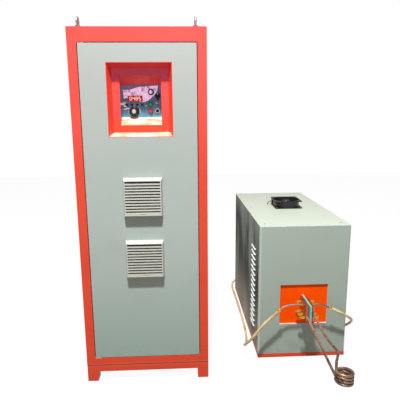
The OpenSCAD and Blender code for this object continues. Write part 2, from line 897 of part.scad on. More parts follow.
// Door and its pivots
module pivot_pins() {
    t = door_gap - pivot_clear;
    color(steel) in_cabinet() for (end = [0, 1]) {
        z = end == 0 ? open_z : open_top - t;
        pin_z = end == 0 ? open_z : open_top - door_gap - pivot_reach;
        slab([open_x, door_inset, z], [pivot_bracket_w, 2 * pivot_inset, t]);
        rod_z([pivot_x, pivot_y, pin_z], pivot_d, door_gap + pivot_reach);
    }
}

module front_door() {
    vent_cut = vent_neck + 2 * loose_fit;
    color(door_grey) in_cabinet() difference() {
        slab([door_x, door_inset, door_z], [door_w, door_t, door_h]);
        slab([door_x + door_sheet, door_inset + door_sheet, door_z + door_sheet],
            [door_w - 2 * door_sheet, door_t, door_h - 2 * door_sheet]);
        slab([recess_x - recess_w / 2, door_inset - over, recess_z - recess_h / 2],
            [recess_w, door_sheet + 2 * over, recess_h]);
        for (z = [vent_z, vent_z - vent_pitch])
            slab([vent_x - vent_cut / 2, door_inset - over, z - vent_cut / 2],
                [vent_cut, door_sheet + 2 * over, vent_cut]);
        rod_z([pivot_x, pivot_y, door_z - over], pivot_d + 2 * run_fit, door_h + 2 * over);
    }
}

module door_seal() {
    t = door_sheet;
    color(black) in_cabinet() difference() {
        slab([door_x + t, door_inset + t, door_z + t], [door_w - 2 * t, seal_t, door_h - 2 * t]);
        slab([door_x + t + pivot_inset + seal_w, door_inset, door_z + t + seal_w],
            [door_w - 2 * (t + seal_w) - pivot_inset, door_t, door_h - 2 * (t + seal_w)]);
        rod_z([pivot_x, pivot_y, door_z - over], pivot_d + 2 * move_gap, door_h + 2 * over);
    }
}

module recess_shell(in) {
    x = recess_x;
    z = recess_z;
    y1 = door_inset + door_sheet;
    w1 = recess_w / 2 - in;
    h1 = recess_h / 2 - in;
    w2 = recess_w / 2 - splay_side - in;
    h2 = recess_h / 2 - splay_end - in;
    front = door_inset - (in > 0 ? over : 0);
    slab([x - w1, front, z - h1], [2 * w1, y1 - front, 2 * h1]);
    taper([y1 - (in > 0 ? over : 0), x - w1, x + w1, z - h1, z + h1],
        [ring_y, x - w2, x + w2, z - h2, z + h2]);
}

module recess_surround() {
    w2 = recess_w / 2 - splay_side;
    h2 = recess_h / 2 - splay_end;
    color(frame_red) in_cabinet() difference() {
        union() {
            recess_shell(0);
            slab([recess_x - w2, ring_y, recess_z - h2], [2 * w2, recess_sheet, 2 * h2]);
        }
        recess_shell(recess_sheet);
        slab([recess_x - window_w / 2, ring_y - over, recess_z - window_h / 2],
            [window_w, recess_sheet + 2 * over, window_h]);
    }
}

module control_box() {
    t = recess_sheet;
    near = window_h / 2 + console_reveal;
    far = panel_view_h / 2;
    slope = (near - far) / console_depth;
    grow = over * slope;
    color(frame_red) in_cabinet() translate([recess_x, 0, recess_z]) difference() {
        profile_x([[console_y, near + t], [panel_y, far + t], [panel_y, -far - t], [console_y, -near - t]],
            -console_w / 2, console_w);
        profile_x([[console_y - over, near + grow], [panel_y + over, far - grow],
            [panel_y + over, -far + grow], [console_y - over, -near - grow]],
            t - console_w / 2, console_w - 2 * t);
    }
}

// Holes that the controls need in their panel and label
module control_holes(y, l, grow) {
    for (p = [knob_at, timer_at]) rod_y([p[0], y, p[1]], bush_d + 2 * loose_fit + grow, l);
    for (p = [start_at, stop_at, mode_at, handle_at])
        rod_y([p[0], y, p[1]], plug_d + 2 * loose_fit + grow, l);
    for (k = [0:lamp_count - 1])
        rod_y([lamp_row_x + k * lamp_pitch, y, lamp_row_z], lamp_d + 2 * loose_fit + grow, l);
    rod_y([power_lamp_at[0], y, power_lamp_at[1]], power_lamp_d + 2 * loose_fit + grow, l);
}

module control_panel() {
    h = panel_view_h + 2 * recess_sheet;
    color(panel_blue) in_cabinet() translate([recess_x, 0, recess_z]) difference() {
        slab([-console_w / 2, panel_y, -h / 2], [console_w, panel_plate_t, h]);
        control_holes(panel_y - over, panel_plate_t + 2 * over, 0);
        slab([display_at[0] - display_w / 2 + display_edge - loose_fit, panel_y - over,
            display_at[1] - display_h / 2 + display_edge - loose_fit],
            [display_w - 2 * display_edge + 2 * loose_fit, panel_plate_t + 2 * over,
            display_h - 2 * display_edge + 2 * loose_fit]);
    }
}

module led_display() {
    color("#5a0f12") in_recess(display_at, panel_y) {
        slab([-display_w / 2, -display_rise, -display_h / 2], [display_w, display_rise, display_h]);
        slab([display_edge - display_w / 2, -display_rise / 2, display_edge - display_h / 2],
            [display_w - 2 * display_edge, display_dep, display_h - 2 * display_edge]);
    }
}

module panel_label() {
    color("#d9b6dc") in_cabinet() translate([recess_x, 0, recess_z]) difference() {
        translate([label_shift[0], panel_y, label_shift[1]]) rotate([90, 0, 0]) linear_extrude(label_t)
            polygon([for (p = label_share) [p[0] * label_w, p[1] * label_h]]);
        control_holes(panel_y - label_t - over, label_t + 2 * over, 0);
        for (p = [[timer_at, timer_d], [handle_at, handle_base_d]])
            rod_y([p[0][0], panel_y - label_t - over, p[0][1]], p[1] + over, label_t + 2 * over);
        slab([display_at[0] - display_w / 2 - move_gap, panel_y - label_t - over,
            display_at[1] - display_h / 2 - move_gap],
            [display_w + 2 * move_gap, label_t + 2 * over, display_h + 2 * move_gap]);
    }
}

module lamp(d) {
    rod_y([0, -lamp_rise, 0], d, lamp_rise + lamp_dep);
}

module indicator_lamps() {
    color("#4a3350") {
        for (k = [0:lamp_count - 1])
            in_recess([lamp_row_x + k * lamp_pitch, lamp_row_z], panel_y) lamp(lamp_d);
        in_recess(power_lamp_at, panel_y) lamp(power_lamp_d);
    }
}

// Fixed bodies of the switches: bezels in front of the panel, blocks behind it
module pot_body() {
    difference() {
        union() {
            rod_y([0, -panel_plate_t, 0], bush_d, 2 * panel_plate_t);
            rod_y([0, panel_plate_t, 0], pot_d, pot_l);
        }
        rod_y([0, -over - panel_plate_t, 0], shaft_d + 2 * run_fit, pot_l);
    }
}

module switch_body(d, h, bore, depth) {
    difference() {
        union() {
            rod_y([0, -h, 0], d, h);
            rod_y([0, -over, 0], plug_d, panel_plate_t + 2 * over);
            slab([-block_side / 2, panel_plate_t, -block_side / 2], [block_side, block_l, block_side]);
        }
        rod_y([0, -h - over, 0], bore, depth + over);
    }
}

module switch_bodies() {
    button_bore = button_d + 2 * run_fit;
    shaft_bore = shaft_d + 2 * run_fit;
    depth = button_l + button_stroke;
    color(black) {
        for (p = [knob_at, timer_at]) in_recess(p, panel_y) pot_body();
        for (p = [start_at, stop_at]) in_recess(p, panel_y) switch_body(bezel_d, bezel_h, button_bore, depth);
        in_recess(mode_at, panel_y) switch_body(bezel_d, mode_ring_h, mode_barrel_d + 2 * run_fit, depth);
        in_recess(handle_at, panel_y) switch_body(handle_base_d, handle_base_h, shaft_bore, depth);
    }
}

module power_knob() {
    back = -panel_plate_t - move_gap;
    color(black) in_recess(knob_at, panel_y) {
        rod_y([0, back - skirt_h, 0], knob_skirt_d, skirt_h);
        rod_y([0, back - knob_h, 0], knob_body_d, knob_h);
        rod_y([0, back - knob_h - cap_rise, 0], knob_cap_d, knob_h);
        rod_y([0, back - over, 0], shaft_d, pot_l - panel_plate_t);
        slab([-cap_rise / 2, back - knob_h, 0], [cap_rise, knob_h, knob_body_d / 2 + cap_rise]);
    }
}

module push_button(paint) {
    color(paint) rod_y([0, -bezel_h - button_rise, 0], button_d, button_rise + button_l - move_gap);
}

module start_button() {
    in_recess(start_at, panel_y) push_button("#00a040");
}

module stop_button() {
    in_recess(stop_at, panel_y) push_button("#f02040");
}

module mode_selector() {
    color("#59604a") in_recess(mode_at, panel_y) difference() {
        rod_y([0, -mode_ring_h - mode_barrel_h, 0], mode_barrel_d, mode_barrel_h + button_l);
        slab([-mode_barrel_d / 2, -mode_ring_h - mode_barrel_h - over, -cap_rise],
            [mode_barrel_d, mode_barrel_h, 2 * cap_rise]);
    }
}

module handle_selector() {
    back = -handle_base_h - move_gap;
    base_h = grip_h * grip_base_share;
    color(black) in_recess(handle_at, panel_y) {
        rod_y([0, back - base_h, 0], handle_base_d - 2 * cap_rise, base_h);
        slab([-grip_w / 2, back - grip_h, (grip_w - grip_l) / 2], [grip_w, grip_h, grip_l - grip_w]);
        for (s = [-1, 1]) rod_y([0, back - grip_h, s * (grip_l - grip_w) / 2], grip_w, grip_h);
        rod_y([0, back - over, 0], shaft_d, button_l);
    }
}

module timer_knob() {
    back = -panel_plate_t - move_gap;
    color(black) in_recess(timer_at, panel_y) {
        rod_y([0, back - timer_h, 0], timer_d, timer_h);
        rod_y([0, back - timer_h - cap_rise, 0], timer_cap_d, timer_h);
        rod_y([0, back - over, 0], shaft_d, pot_l - panel_plate_t);
    }
}

// Filter vents
module in_vent(z) {
    in_cabinet() translate([vent_x, door_inset, z]) children();
}

module vent_base() {
    difference() {
        union() {
            slab([-vent_size / 2, -vent_base_t, -vent_size / 2], [vent_size, vent_base_t, vent_size]);
            slab([-vent_neck / 2, -over, -vent_neck / 2], [vent_neck, vent_neck_l + over, vent_neck]);
        }
        slab([-vent_hole / 2, -vent_base_t - over, -vent_hole / 2],
            [vent_hole, vent_base_t + vent_neck_l + 2 * over, vent_hole]);
    }
}

module vent_bases() {
    color("#cfcfc4") for (z = [vent_z, vent_z - vent_pitch]) in_vent(z) vent_base();
}

module vent_shell(in, y0, y1) {
    s = vent_size / 2 - in;
    taper([y1, -s + vent_bevel, s - vent_bevel, -s + vent_bevel, s - vent_bevel_top], [y0, -s, s, -s, s]);
}

module vent_grille() {
    back = -vent_base_t - move_gap;
    front = back - grille_dep;
    half = vent_size / 2 - vent_border - vent_bevel;
    low = -vent_size / 2 + vent_bevel + vent_band;
    slat = slat_pitch * slat_share;
    run = grille_dep / 2;
    difference() {
        vent_shell(0, back, front);
        vent_shell(vent_wall, back + over, front + vent_wall);
        slab([-half, front - over, low], [2 * half, vent_wall + 2 * over, slat_field]);
        slab([-notch_w / 2, front - over, low - (vent_band + notch_h) / 2],
            [notch_w, vent_wall / 2 + over, notch_h]);
    }
    for (k = [0:vent_gaps - 1]) {
        z = low + k * slat_pitch;
        profile_x([[front, z - slat / 2], [front, z + slat / 2], [front + run, z + slat * slat_rise_share],
            [front + run, z + slat]],
            -half - vent_border / 2, 2 * half + vent_border);
    }
}

module upper_vent_grille() {
    color("#cfcfc4") in_vent(vent_z) vent_grille();
}

module lower_vent_grille() {
    color("#cfcfc4") in_vent(vent_z - vent_pitch) vent_grille();
}

// Axial fans: z = 0 is the face that is screwed down
module fan_frame(size) {
    bore = size - 2 * fan_rim;
    hub = fan_hub_d - 2 * blade_gap;
    arm_l = bore + fan_rim;
    difference() {
        union() {
            for (z = [0, fan_depth - fan_flange])
                slab([-size / 2, -size / 2, z], [size, size, fan_flange]);
            cylinder(d = size, h = fan_depth);
            slab([-size / 2, fan_block_y, 0], [fan_block_w, fan_block_l, fan_depth]);
        }
        translate([0, 0, -over]) cylinder(d = bore, h = fan_depth + 2 * over);
        at_fan_corners(size) translate([0, 0, -over]) cylinder(d = fan_hole_d, h = fan_depth + 2 * over);
    }
    for (a = [45, 135]) rotate([0, 0, a])
        slab([-arm_l / 2, -fan_arm_w / 2, 0], [arm_l, fan_arm_w, fan_flange]);
    cylinder(d = hub, h = fan_motor_l);
    cylinder(d = fan_pin_d, h = fan_motor_l + fan_pin_l);
}

module fan_impeller(size) {
    low = fan_motor_l + move_gap;
    tip = size / 2 - fan_rim - blade_gap;
    difference() {
        union() {
            translate([0, 0, low]) cylinder(d = fan_hub_d, h = hub_l);
            intersection() {
                translate([0, 0, low]) cylinder(r = tip, h = hub_l);
                for (k = [0:fan_blades - 1])
                    rotate([0, 0, 360 * k / fan_blades]) translate([0, 0, low + hub_l / 2])
                        rotate([blade_pitch, 0, 0])
                            slab([0, -blade_l, -fan_flange / 4], [size, 2 * blade_l, fan_flange / 2]);
            }
        }
        translate([0, 0, low - over]) cylinder(d = fan_pin_d + 2 * run_fit, h = fan_pin_l + over);
    }
}

module in_vent_fan(z) {
    in_vent(z) translate([0, vent_neck_l, 0]) rotate([-90, 0, 0]) children();
}

module vent_fan_frames() {
    color(black) for (z = [vent_z, vent_z - vent_pitch]) in_vent_fan(z) fan_frame(fan_size);
}

module upper_fan_impeller() {
    color(black) in_vent_fan(vent_z) fan_impeller(fan_size);
}

module lower_fan_impeller() {
    color(black) in_vent_fan(vent_z - vent_pitch) fan_impeller(fan_size);
}

// Equipment inside the cabinet
module mounting_plate() {
    x = post_w - plate_lap;
    color(steel) in_cabinet() slab([x, plate_y, open_z + plate_margin],
        [cab_w - 2 * x, plate_t, open_top - open_z - 2 * plate_margin]);
}

module circuit_breaker() {
    slot_x = (breaker_w - lever_slot_w) / 2;
    slot_low = (breaker_h - lever_slot_h) / 2;
    color(black) in_cabinet() translate([breaker_at[0], plate_y - breaker_dep, breaker_at[1]]) difference() {
        slab([0, 0, 0], [breaker_w, breaker_dep, breaker_h]);
        slab([slot_x, -over, slot_low], [lever_slot_w, lever_slot_dep + over, lever_slot_h]);
        rod_x([slot_x - lever_pin_d, lever_pin_y, breaker_h / 2], lever_pin_d + 2 * run_fit,
            lever_slot_w + 2 * lever_pin_d);
    }
}

module breaker_lever() {
    slot_x = (breaker_w - lever_slot_w) / 2;
    color(steel) in_cabinet() translate([breaker_at[0], plate_y - breaker_dep, breaker_at[1]])
        translate([0, lever_pin_y, breaker_h / 2]) {
            rod_x([slot_x - lever_pin_d + move_gap, 0, 0], lever_pin_d,
                lever_slot_w + 2 * (lever_pin_d - move_gap));
            rod_x([(breaker_w - lever_w) / 2, 0, 0], lever_t, lever_w);
            rotate([lever_tilt, 0, 0]) slab([(breaker_w - lever_w) / 2, -lever_l, -lever_blade_t / 2],
                [lever_w, lever_l, lever_blade_t]);
        }
}

module contactor() {
    step = contactor_dep / 3;
    color(black) in_cabinet() translate([contactor_at[0], plate_y, contactor_at[1]]) {
        slab([0, -2 * step, 0], [contactor_w, 2 * step, contactor_h]);
        slab([contactor_w / 6, -3 * step, contactor_h / 4],
            [contactor_w * 2 / 3, step + over, contactor_h / 2]);
        for (k = [0:2], z = [terminal_d, contactor_h - terminal_d])
            rod_y([contactor_w * (k + 0.5) / 3, -2 * step - terminal_h / 2, z], terminal_d, terminal_h);
    }
}

module cooling_plate() {
    color("#c9ccd0") in_cabinet() translate([cooler_at[0], plate_y - cooler_t, cooler_at[1]]) {
        slab([0, 0, 0], [cooler_w, cooler_t, cooler_h]);
        for (k = [1, 2]) rod_z([cooler_w * k / 3, cooler_t / 2, -spigot_l], stub_d, spigot_l + over);
    }
}

module power_modules() {
    gap = (cooler_w - module_count * module_w) / (module_count + 1);
    color(black) in_cabinet() for (k = [0:module_count - 1])
        translate([cooler_at[0] + gap + k * (module_w + gap), plate_y - cooler_t - module_dep,
            cooler_at[1] + (cooler_h - module_h) / 2]) {
            slab([0, 0, 0], [module_w, module_dep, module_h]);
            for (j = [1:3])
                rod_y([module_w / 2, -terminal_h, module_h * j / 4], terminal_d, terminal_h + over);
        }
}

module smoothing_capacitors() {
    color("#2f4d78") in_cabinet() for (k = [0:cap_count - 1])
        translate([cap_x + k * cap_pitch, plate_y - cap_l, cap_row_z]) {
            rod_y([0, 0, 0], cap_d, cap_l);
            for (s = [-1, 1]) rod_y([s * cap_d / 4, -terminal_h, 0], terminal_d, terminal_h + over);
        }
}

module inverter_board() {
    y = plate_y - standoff_l - pcb_t;
    color("#1f6b3a") in_cabinet() translate([board_at[0], y, board_at[1]]) {
        slab([0, 0, 0], [board_w, pcb_t, board_h]);
        for (x = [board_edge, board_w - board_edge], z = [board_edge, board_h - board_edge])
            rod_y([x, 0, z], standoff_d, standoff_l + pcb_t);
        for (c = chip_share)
            slab([c[0] * board_w, -c[4] * chip_h, c[1] * board_h],
                [c[2] * board_w, c[4] * chip_h + pcb_t / 2, c[3] * board_h]);
    }
}

// A hose spigot or a cable gland that stands on a panel at y = 0 and leaves along +Y
module spigot(sheet) {
    rod_y([0, 0, 0], collar_d, collar_t);
    rod_y([0, collar_t - over, 0], spigot_d, spigot_l + over);
    rod_y([0, -sheet - inner_l, 0], thread_d, sheet + inner_l + over);
}

module gland(sheet) {
    difference() {
        union() {
            rod_y([0, 0, 0], gland_nut_d, gland_l);
            rod_y([0, gland_nut_t, 0], gland_d, gland_l - 2 * gland_nut_t);
            rod_y([0, -sheet - inner_l, 0], thread_d, sheet + inner_l + over);
        }
        rod_y([0, -sheet - inner_l - over, 0], gland_bore - 2 * over, gland_l + sheet + inner_l + 2 * over);
        rod_y([0, 0, 0], gland_bore, gland_l + over);
    }
}

module rear_fittings() {
    color(brass) {
        in_cabinet() translate([0, cab_d - panel_inset, 0]) {
            at_rear_spigots() spigot(panel_t);
            at_rear_glands() gland(panel_t);
        }
        in_station() translate([0, station_d, 0]) {
            for (x = [rear_hose_x, station_w - rear_hose_x]) {
                translate([x, 0, rear_supply_z]) spigot(skin_t);
                translate([x, 0, rear_hose_z]) {
                    rod_y([0, 0, 0], nipple_d, collar_t);
                    rod_y([0, -skin_t - inner_l, 0], stub_d, skin_t + inner_l + collar_t + barb_l);
                }
            }
            translate([station_w / 2, 0, rear_gland_z]) gland(skin_t);
        }
    }
}

// Station body
module station_base() {
    color(frame_red) in_station() difference() {
        slab([0, 0, 0], [station_w, station_d, base_h]);
        slab([base_wall, base_wall, -over],
            [station_w - 2 * base_wall, station_d - 2 * base_wall, base_h - base_wall + over]);
    }
}

module front_outline(w, d, r) {
    translate([r, 0]) square([w - 2 * r, d]);
    translate([0, r]) square([w, d - r]);
    for (x = [r, w - r]) translate([x, r]) circle(r = r);
}

module station_front_panel() {
    t = skin_t;
    color(station_grey) in_station() {
        difference() {
            translate([0, 0, base_h]) linear_extrude(skin_top - base_h) difference() {
                front_outline(station_w, return_d, bend_r);
                translate([t, t]) front_outline(station_w - 2 * t, return_d, bend_r - t);
            }
            slab([board_x, -over, board_z], [window2_w, t + 2 * over, window2_h]);
        }
        translate([0, 0, skin_top]) linear_extrude(t) front_outline(station_w, flange_d, bend_r);
        difference() {
            slab([board_x - t, t / 2, board_z - t], [window2_w + 2 * t, lip_d - t / 2, window2_h + 2 * t]);
            slab([board_x, -over, board_z], [window2_w, lip_d + 2 * over, window2_h]);
        }
    }
}

// One louvre hood on the outside of x = 0, open downwards
module louvre(z) {
    top = z + louvre_h;
    y = louvre_y;
    inner = louvre_h - 2 * louvre_t;
    difference() {
        translate([0, y + louvre_l, 0]) rotate([90, 0, 0]) linear_extrude(louvre_l)
            polygon([[skin_t / 2, z], [-louvre_proud, z], [0, top], [skin_t / 2, top]]);
        translate([0, y + louvre_l - louvre_t, 0]) rotate([90, 0, 0]) linear_extrude(louvre_l - 2 * louvre_t)
            polygon([[skin_t, z - over], [louvre_t - louvre_proud, z - over], [louvre_t - louvre_proud, z],
                [louvre_t / 2, z + inner], [skin_t, z + inner]]);
    }
}

module station_side() {
    difference() {
        slab([0, return_d, base_h], [skin_t, station_d - skin_t - return_d, skin_top - base_h]);
        for (k = [0:louvre_count - 1])
            slab([-over, louvre_y + louvre_t, louvre_z + k * louvre_pitch],
                [skin_t + 2 * over, louvre_l - 2 * louvre_t, louvre_h - 2 * louvre_t]);
    }
    for (k = [0:louvre_count - 1]) louvre(louvre_z + k * louvre_pitch);
}

module station_side_panels() {
    color(station_grey) in_station() {
        station_side();
        translate([station_w, 0, 0]) mirror([1, 0, 0]) station_side();
    }
}

module station_rear_panel() {
    y = station_d - skin_t;
    color(station_grey) in_station() difference() {
        slab([0, y, base_h], [station_w, skin_t, skin_top - base_h]);
        for (x = [rear_hose_x, station_w - rear_hose_x]) {
            rod_y([x, y - over, rear_supply_z], thread_d + 2 * loose_fit, skin_t + 2 * over);
            rod_y([x, y - over, rear_hose_z], stub_d + 2 * loose_fit, skin_t + 2 * over);
        }
        rod_y([station_w / 2, y - over, rear_gland_z], thread_d + 2 * loose_fit, skin_t + 2 * over);
    }
}

module station_lid() {
    y = flange_d + lid_seam;
    lip_h = base_h;
    color(station_grey) in_station() difference() {
        union() {
            slab([0, y, skin_top], [station_w, station_d - y, skin_t]);
            for (x = [skin_t + panel_fit, station_w - 2 * skin_t - panel_fit])
                slab([x, return_d, skin_top - lip_h],
                    [skin_t, station_d - skin_t - return_d - panel_fit, lip_h]);
        }
        at_lid_screws() screw_hole(screw_l);
        at_top_fan() {
            at_fan_corners(top_fan_size) rotate([180, 0, 0]) screw_hole(screw_l);
            translate([0, 0, -skin_t - over]) cylinder(d = top_fan_size - 2 * fan_rim, h = skin_t + 2 * over);
        }
        rod_z([lead_hole_x, lead_hole_y, skin_top - over], lead_hole_d, skin_t + 2 * over);
    }
}

// Output head
module head_slab(x, w, out, in, h, z) {
    slab([head_x + x, -out, z - h / 2], [w, out + in, h]);
}

module terminal_board() {
    y = lip_d;
    color(orange) in_station() difference() {
        slab([board_x - board_lap, y, board_z - board_lap],
            [window2_w + 2 * board_lap, board_t, window2_h + 2 * board_lap]);
        head_slab(-half_ins, insulator_t, 0, insulator_in, insulator_h, head_z);
        head_slab(-bus_x, 2 * bus_x, 0, insulator_in, bus_h, head_z);
    }
}

module insulation_plate() {
    color(teal) in_station()
        head_slab(-half_ins, insulator_t, insulator_out, insulator_in, insulator_h, head_z);
}

module at_studs() {
    for (side = [-1, 1], k = [0:len(stud_y) - 1])
        translate([head_x, stud_y[k], head_z + stud_z[k]]) rotate([0, 90 * side, 0]) children();
}

module at_stubs() {
    for (side = [-1, 1]) translate([head_x, stub_y, head_z + stub_z]) rotate([0, 90 * side, 0]) children();
}

module output_plates() {
    color(copper) in_station() difference() {
        union() {
            head_slab(-bus_x, bus_t, bus_out, bus_in, bus_h, head_z);
            head_slab(half_ins, bus_t, bus_out, bus_in, bus_h, head_z);
        }
        at_studs() translate([0, 0, bus_x - stud_in]) cylinder(d = stud_d + 2 * loose_fit, h = bus_t);
    }
}

module coil_plates() {
    color(copper) in_station() difference() {
        for (x = [-coil_plate_x, bus_x])
            head_slab(x, coil_plate_t, coil_plate_out, -coil_plate_rear, coil_plate_h, head_z);
        at_studs() translate([0, 0, bus_x - over])
            cylinder(d = stud_d + 2 * loose_fit, h = coil_plate_t + 2 * over);
    }
}

module clamp_studs() {
    nut_d = nut_af / cos(30);
    color(brass) in_station() at_studs() {
        translate([0, 0, bus_x - stud_in + loose_fit]) cylinder(d = stud_d,
            h = stud_in - loose_fit + coil_plate_t + nut_l + stud_end);
        translate([0, 0, coil_plate_x]) difference() {
            cylinder(d = nut_d, h = nut_l, $fn = 6);
            translate([0, 0, -over]) cylinder(d = stud_d + 2 * loose_fit, h = nut_l + 2 * over);
        }
    }
}

// Work coil: one tube from the right plate, down the turns and back to the left plate
function lead_point(s) = [for (i = [0:2]) upper_start[i] + (upper_end[i] - upper_start[i]) * s[i]];
coil_steps = round(coil_turns * loop_rings);
coil_helix = [for (k = [0:coil_steps]) let (a = 180 + 360 * k / loop_rings)
    [coil_x + coil_r * cos(a), -coil_out + coil_r * sin(a), coil_z - coil_pitch * k / loop_rings]];
bend_steps = 6;
bend_y = coil_r + lead_bend_r;
lower_bend = [for (k = [1:bend_steps]) let (a = 90 * k / bend_steps)
    [coil_x - lead_bend_r * sin(a), bend_y - coil_out - lead_bend_r * cos(a), coil_low]];
straight = [0, -coil_tube_d, 0];
lead_mid = (lower_bend[bend_steps - 1] + lower_start + straight) / 2;
coil_path = concat([upper_start, upper_start + straight], [for (s = upper_lead_share) lead_point(s)],
    coil_helix, lower_bend, [lead_mid, lower_start + straight, lower_start]);
// Least gap between turns, on the points of the path that lie half a turn or more apart
coil_gap = min([for (i = [0:len(coil_path) - 1], j = [i + loop_rings / 2:len(coil_path) - 1])
    norm(coil_path[i] - coil_path[j])]) - coil_tube_d;
echo(least_gap_of_the_coil_to_itself = coil_gap);

module work_coil() {
    color(copper) in_station() tube(coil_path, coil_tube_d, coil_sides);
}

module coil_stubs() {
    color(copper) in_station() {
        at_stubs() translate([0, 0, coil_plate_x]) cylinder(d = nipple_d, h = nipple_l, $fn = 6);
        for (b = [[-1, left_stub], [1, right_stub]]) {
            root = [head_x + b[0] * (coil_plate_x + over), stub_y, head_z + stub_z];
            tube(smooth(concat([root], b[1]), 2), stub_d, stub_sides);
        }
    }
}

// A band clamp round a hose; its place is a point of the hose and the way the hose runs
module hose_clamp(at, way) {
    band_d = hose_d + 2 * loose_fit;
    turn = [0, acos(way[2]), atan2(way[1], way[0])];
    translate(at) rotate(turn) translate([0, 0, -clamp_w / 2]) difference() {
        union() {
            cylinder(d = band_d + 2 * clamp_t, h = clamp_w);
            slab([-band_d / 2 - ear_h, -ear_w / 2, 0], [ear_h, ear_w, clamp_w]);
        }
        translate([0, 0, -over]) cylinder(d = band_d, h = clamp_w + 2 * over);
    }
}

module hose_clamps() {
    color(brass) in_station() {
        for (b = clamp_bands) hose_clamp((b[0] + b[1]) / 2, unit(b[1] - b[0]));
        for (x = [rear_hose_x, station_w - rear_hose_x])
            hose_clamp([x, rear_clamp_y, rear_hose_z], [0, 1, 0]);
    }
}

module left_hose() {
    color(cream) in_station() tube(left_route, hose_d, hose_sides);
}

module right_hose() {
    color(cream) in_station() tube(right_route, hose_d, hose_sides);
}

// Top fan and the parts inside the station
module top_fan_frame() {
    color(black) in_station() at_top_fan() fan_frame(top_fan_size);
}

module top_fan_impeller() {
    color(black) in_station() at_top_fan() fan_impeller(top_fan_size);
}

module fan_lead() {
    color(black) in_station() tube(fan_lead_route, fan_lead_d, lead_sides);
}

module transformer() {
    x = head_x - core_w / 2;
    y = bus_in;
    w = winding_over;
    color("#4a4d50") in_station() {
        slab([x, y, core_z], [core_w, core_d, core_h]);
        slab([head_x - winding_w / 2, y + w, core_z - w], [winding_w, core_d - 2 * w, core_h + 2 * w]);
        for (dx = [0, core_w - core_leg], dy = [0, core_d - core_leg])
            slab([x + dx, y + dy, base_h], [core_leg, core_leg, core_z - base_h + over]);
    }
}

module tank_capacitors() {
    color("#d8d2c0") in_station() for (i = [0, 1], j = [0:2])
        translate([tank_x + i * tank_pitch_x, tank_y + j * tank_pitch_y, base_h]) {
            slab([0, 0, 0], [tank_w, tank_d, tank_h]);
            for (s = [1, 3])
                rod_z([tank_w * s / 4, tank_d / 2, tank_h - over], terminal_d, tank_stud_h + over);
        }
}

frame_posts();
frame_rails();
base_plinth();
roof_panel();
side_panels();
rear_panel();
cabinet_floor();
lifting_eyes();
panel_screws();
pivot_pins();
front_door();
door_seal();
recess_surround();
control_box();
control_panel();
led_display();
panel_label();
indicator_lamps();
switch_bodies();
power_knob();
start_button();
stop_button();
mode_selector();
handle_selector();
timer_knob();
vent_bases();
upper_vent_grille();
lower_vent_grille();
vent_fan_frames();
upper_fan_impeller();
lower_fan_impeller();
mounting_plate();
circuit_breaker();
breaker_lever();
contactor();
cooling_plate();
power_modules();
smoothing_capacitors();
inverter_board();
rear_fittings();
station_base();
station_front_panel();
station_side_panels();
station_rear_panel();
station_lid();
terminal_board();
insulation_plate();
output_plates();
coil_plates();
clamp_studs();
work_coil();
coil_stubs();
hose_clamps();
left_hose();
right_hose();
top_fan_frame();
top_fan_impeller();
fan_lead();
transformer();
tank_capacitors();
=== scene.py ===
# %% [markdown]
# An induction heating machine for a workshop: a tall power cabinet in a red frame, and a low station beside it
# that carries a water-cooled copper work coil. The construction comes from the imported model, which stays where it
# is. This lesson dresses it: camera, hoses, finishes, and the small pieces that make it look real.

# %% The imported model
import bpy
import bmesh
import math
from mathutils import Matrix, Vector


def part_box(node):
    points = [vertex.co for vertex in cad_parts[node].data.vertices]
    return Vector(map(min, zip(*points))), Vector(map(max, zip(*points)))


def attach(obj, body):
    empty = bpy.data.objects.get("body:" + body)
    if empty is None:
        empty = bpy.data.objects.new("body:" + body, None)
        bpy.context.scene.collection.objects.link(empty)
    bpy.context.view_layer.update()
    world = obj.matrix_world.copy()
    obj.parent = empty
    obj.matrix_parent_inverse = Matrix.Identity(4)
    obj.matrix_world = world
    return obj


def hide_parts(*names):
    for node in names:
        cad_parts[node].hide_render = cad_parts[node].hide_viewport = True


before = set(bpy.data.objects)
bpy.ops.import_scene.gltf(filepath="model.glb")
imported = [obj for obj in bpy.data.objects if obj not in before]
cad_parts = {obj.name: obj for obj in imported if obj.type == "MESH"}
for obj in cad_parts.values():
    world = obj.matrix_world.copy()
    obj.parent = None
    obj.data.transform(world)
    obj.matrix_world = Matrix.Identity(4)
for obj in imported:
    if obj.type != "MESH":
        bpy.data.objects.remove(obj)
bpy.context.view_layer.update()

# %% [markdown]
# Both units have their own corner on the floor, at the front left. Every size below is in millimetres from one of
# those corners, as on a workshop drawing, and two small functions turn it into a point of the scene in metres.

# %% The corners of the two units
mm = 0.001
cabinet_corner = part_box("base_plinth")[0]
station_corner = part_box("station_base")[0]
cabinet_w, cabinet_d, cabinet_h = 500, 600, 1392
station_w, station_d, station_h = 396, 800, 612
left, right, front, back, up = (Vector(v) for v in ((-1, 0, 0), (1, 0, 0), (0, -1, 0), (0, 1, 0), (0, 0, 1)))


def in_cabinet(x, y, z):
    return cabinet_corner + Vector((x, y, z)) * mm


def in_station(x, y, z):
    return station_corner + Vector((x, y, z)) * mm


print("cabinet at", tuple(cabinet_corner), "station at", tuple(station_corner))

# %% [markdown]
# The camera stands where the photographer stood: in front of the cabinet, higher than the station and lower than the
# cabinet's roof. Its place, tilt and focal length come from the corners of both units in the picture. Looking along
# a direction is easier to read than three angles, so the camera's axes are built from that direction and a small
# roll.

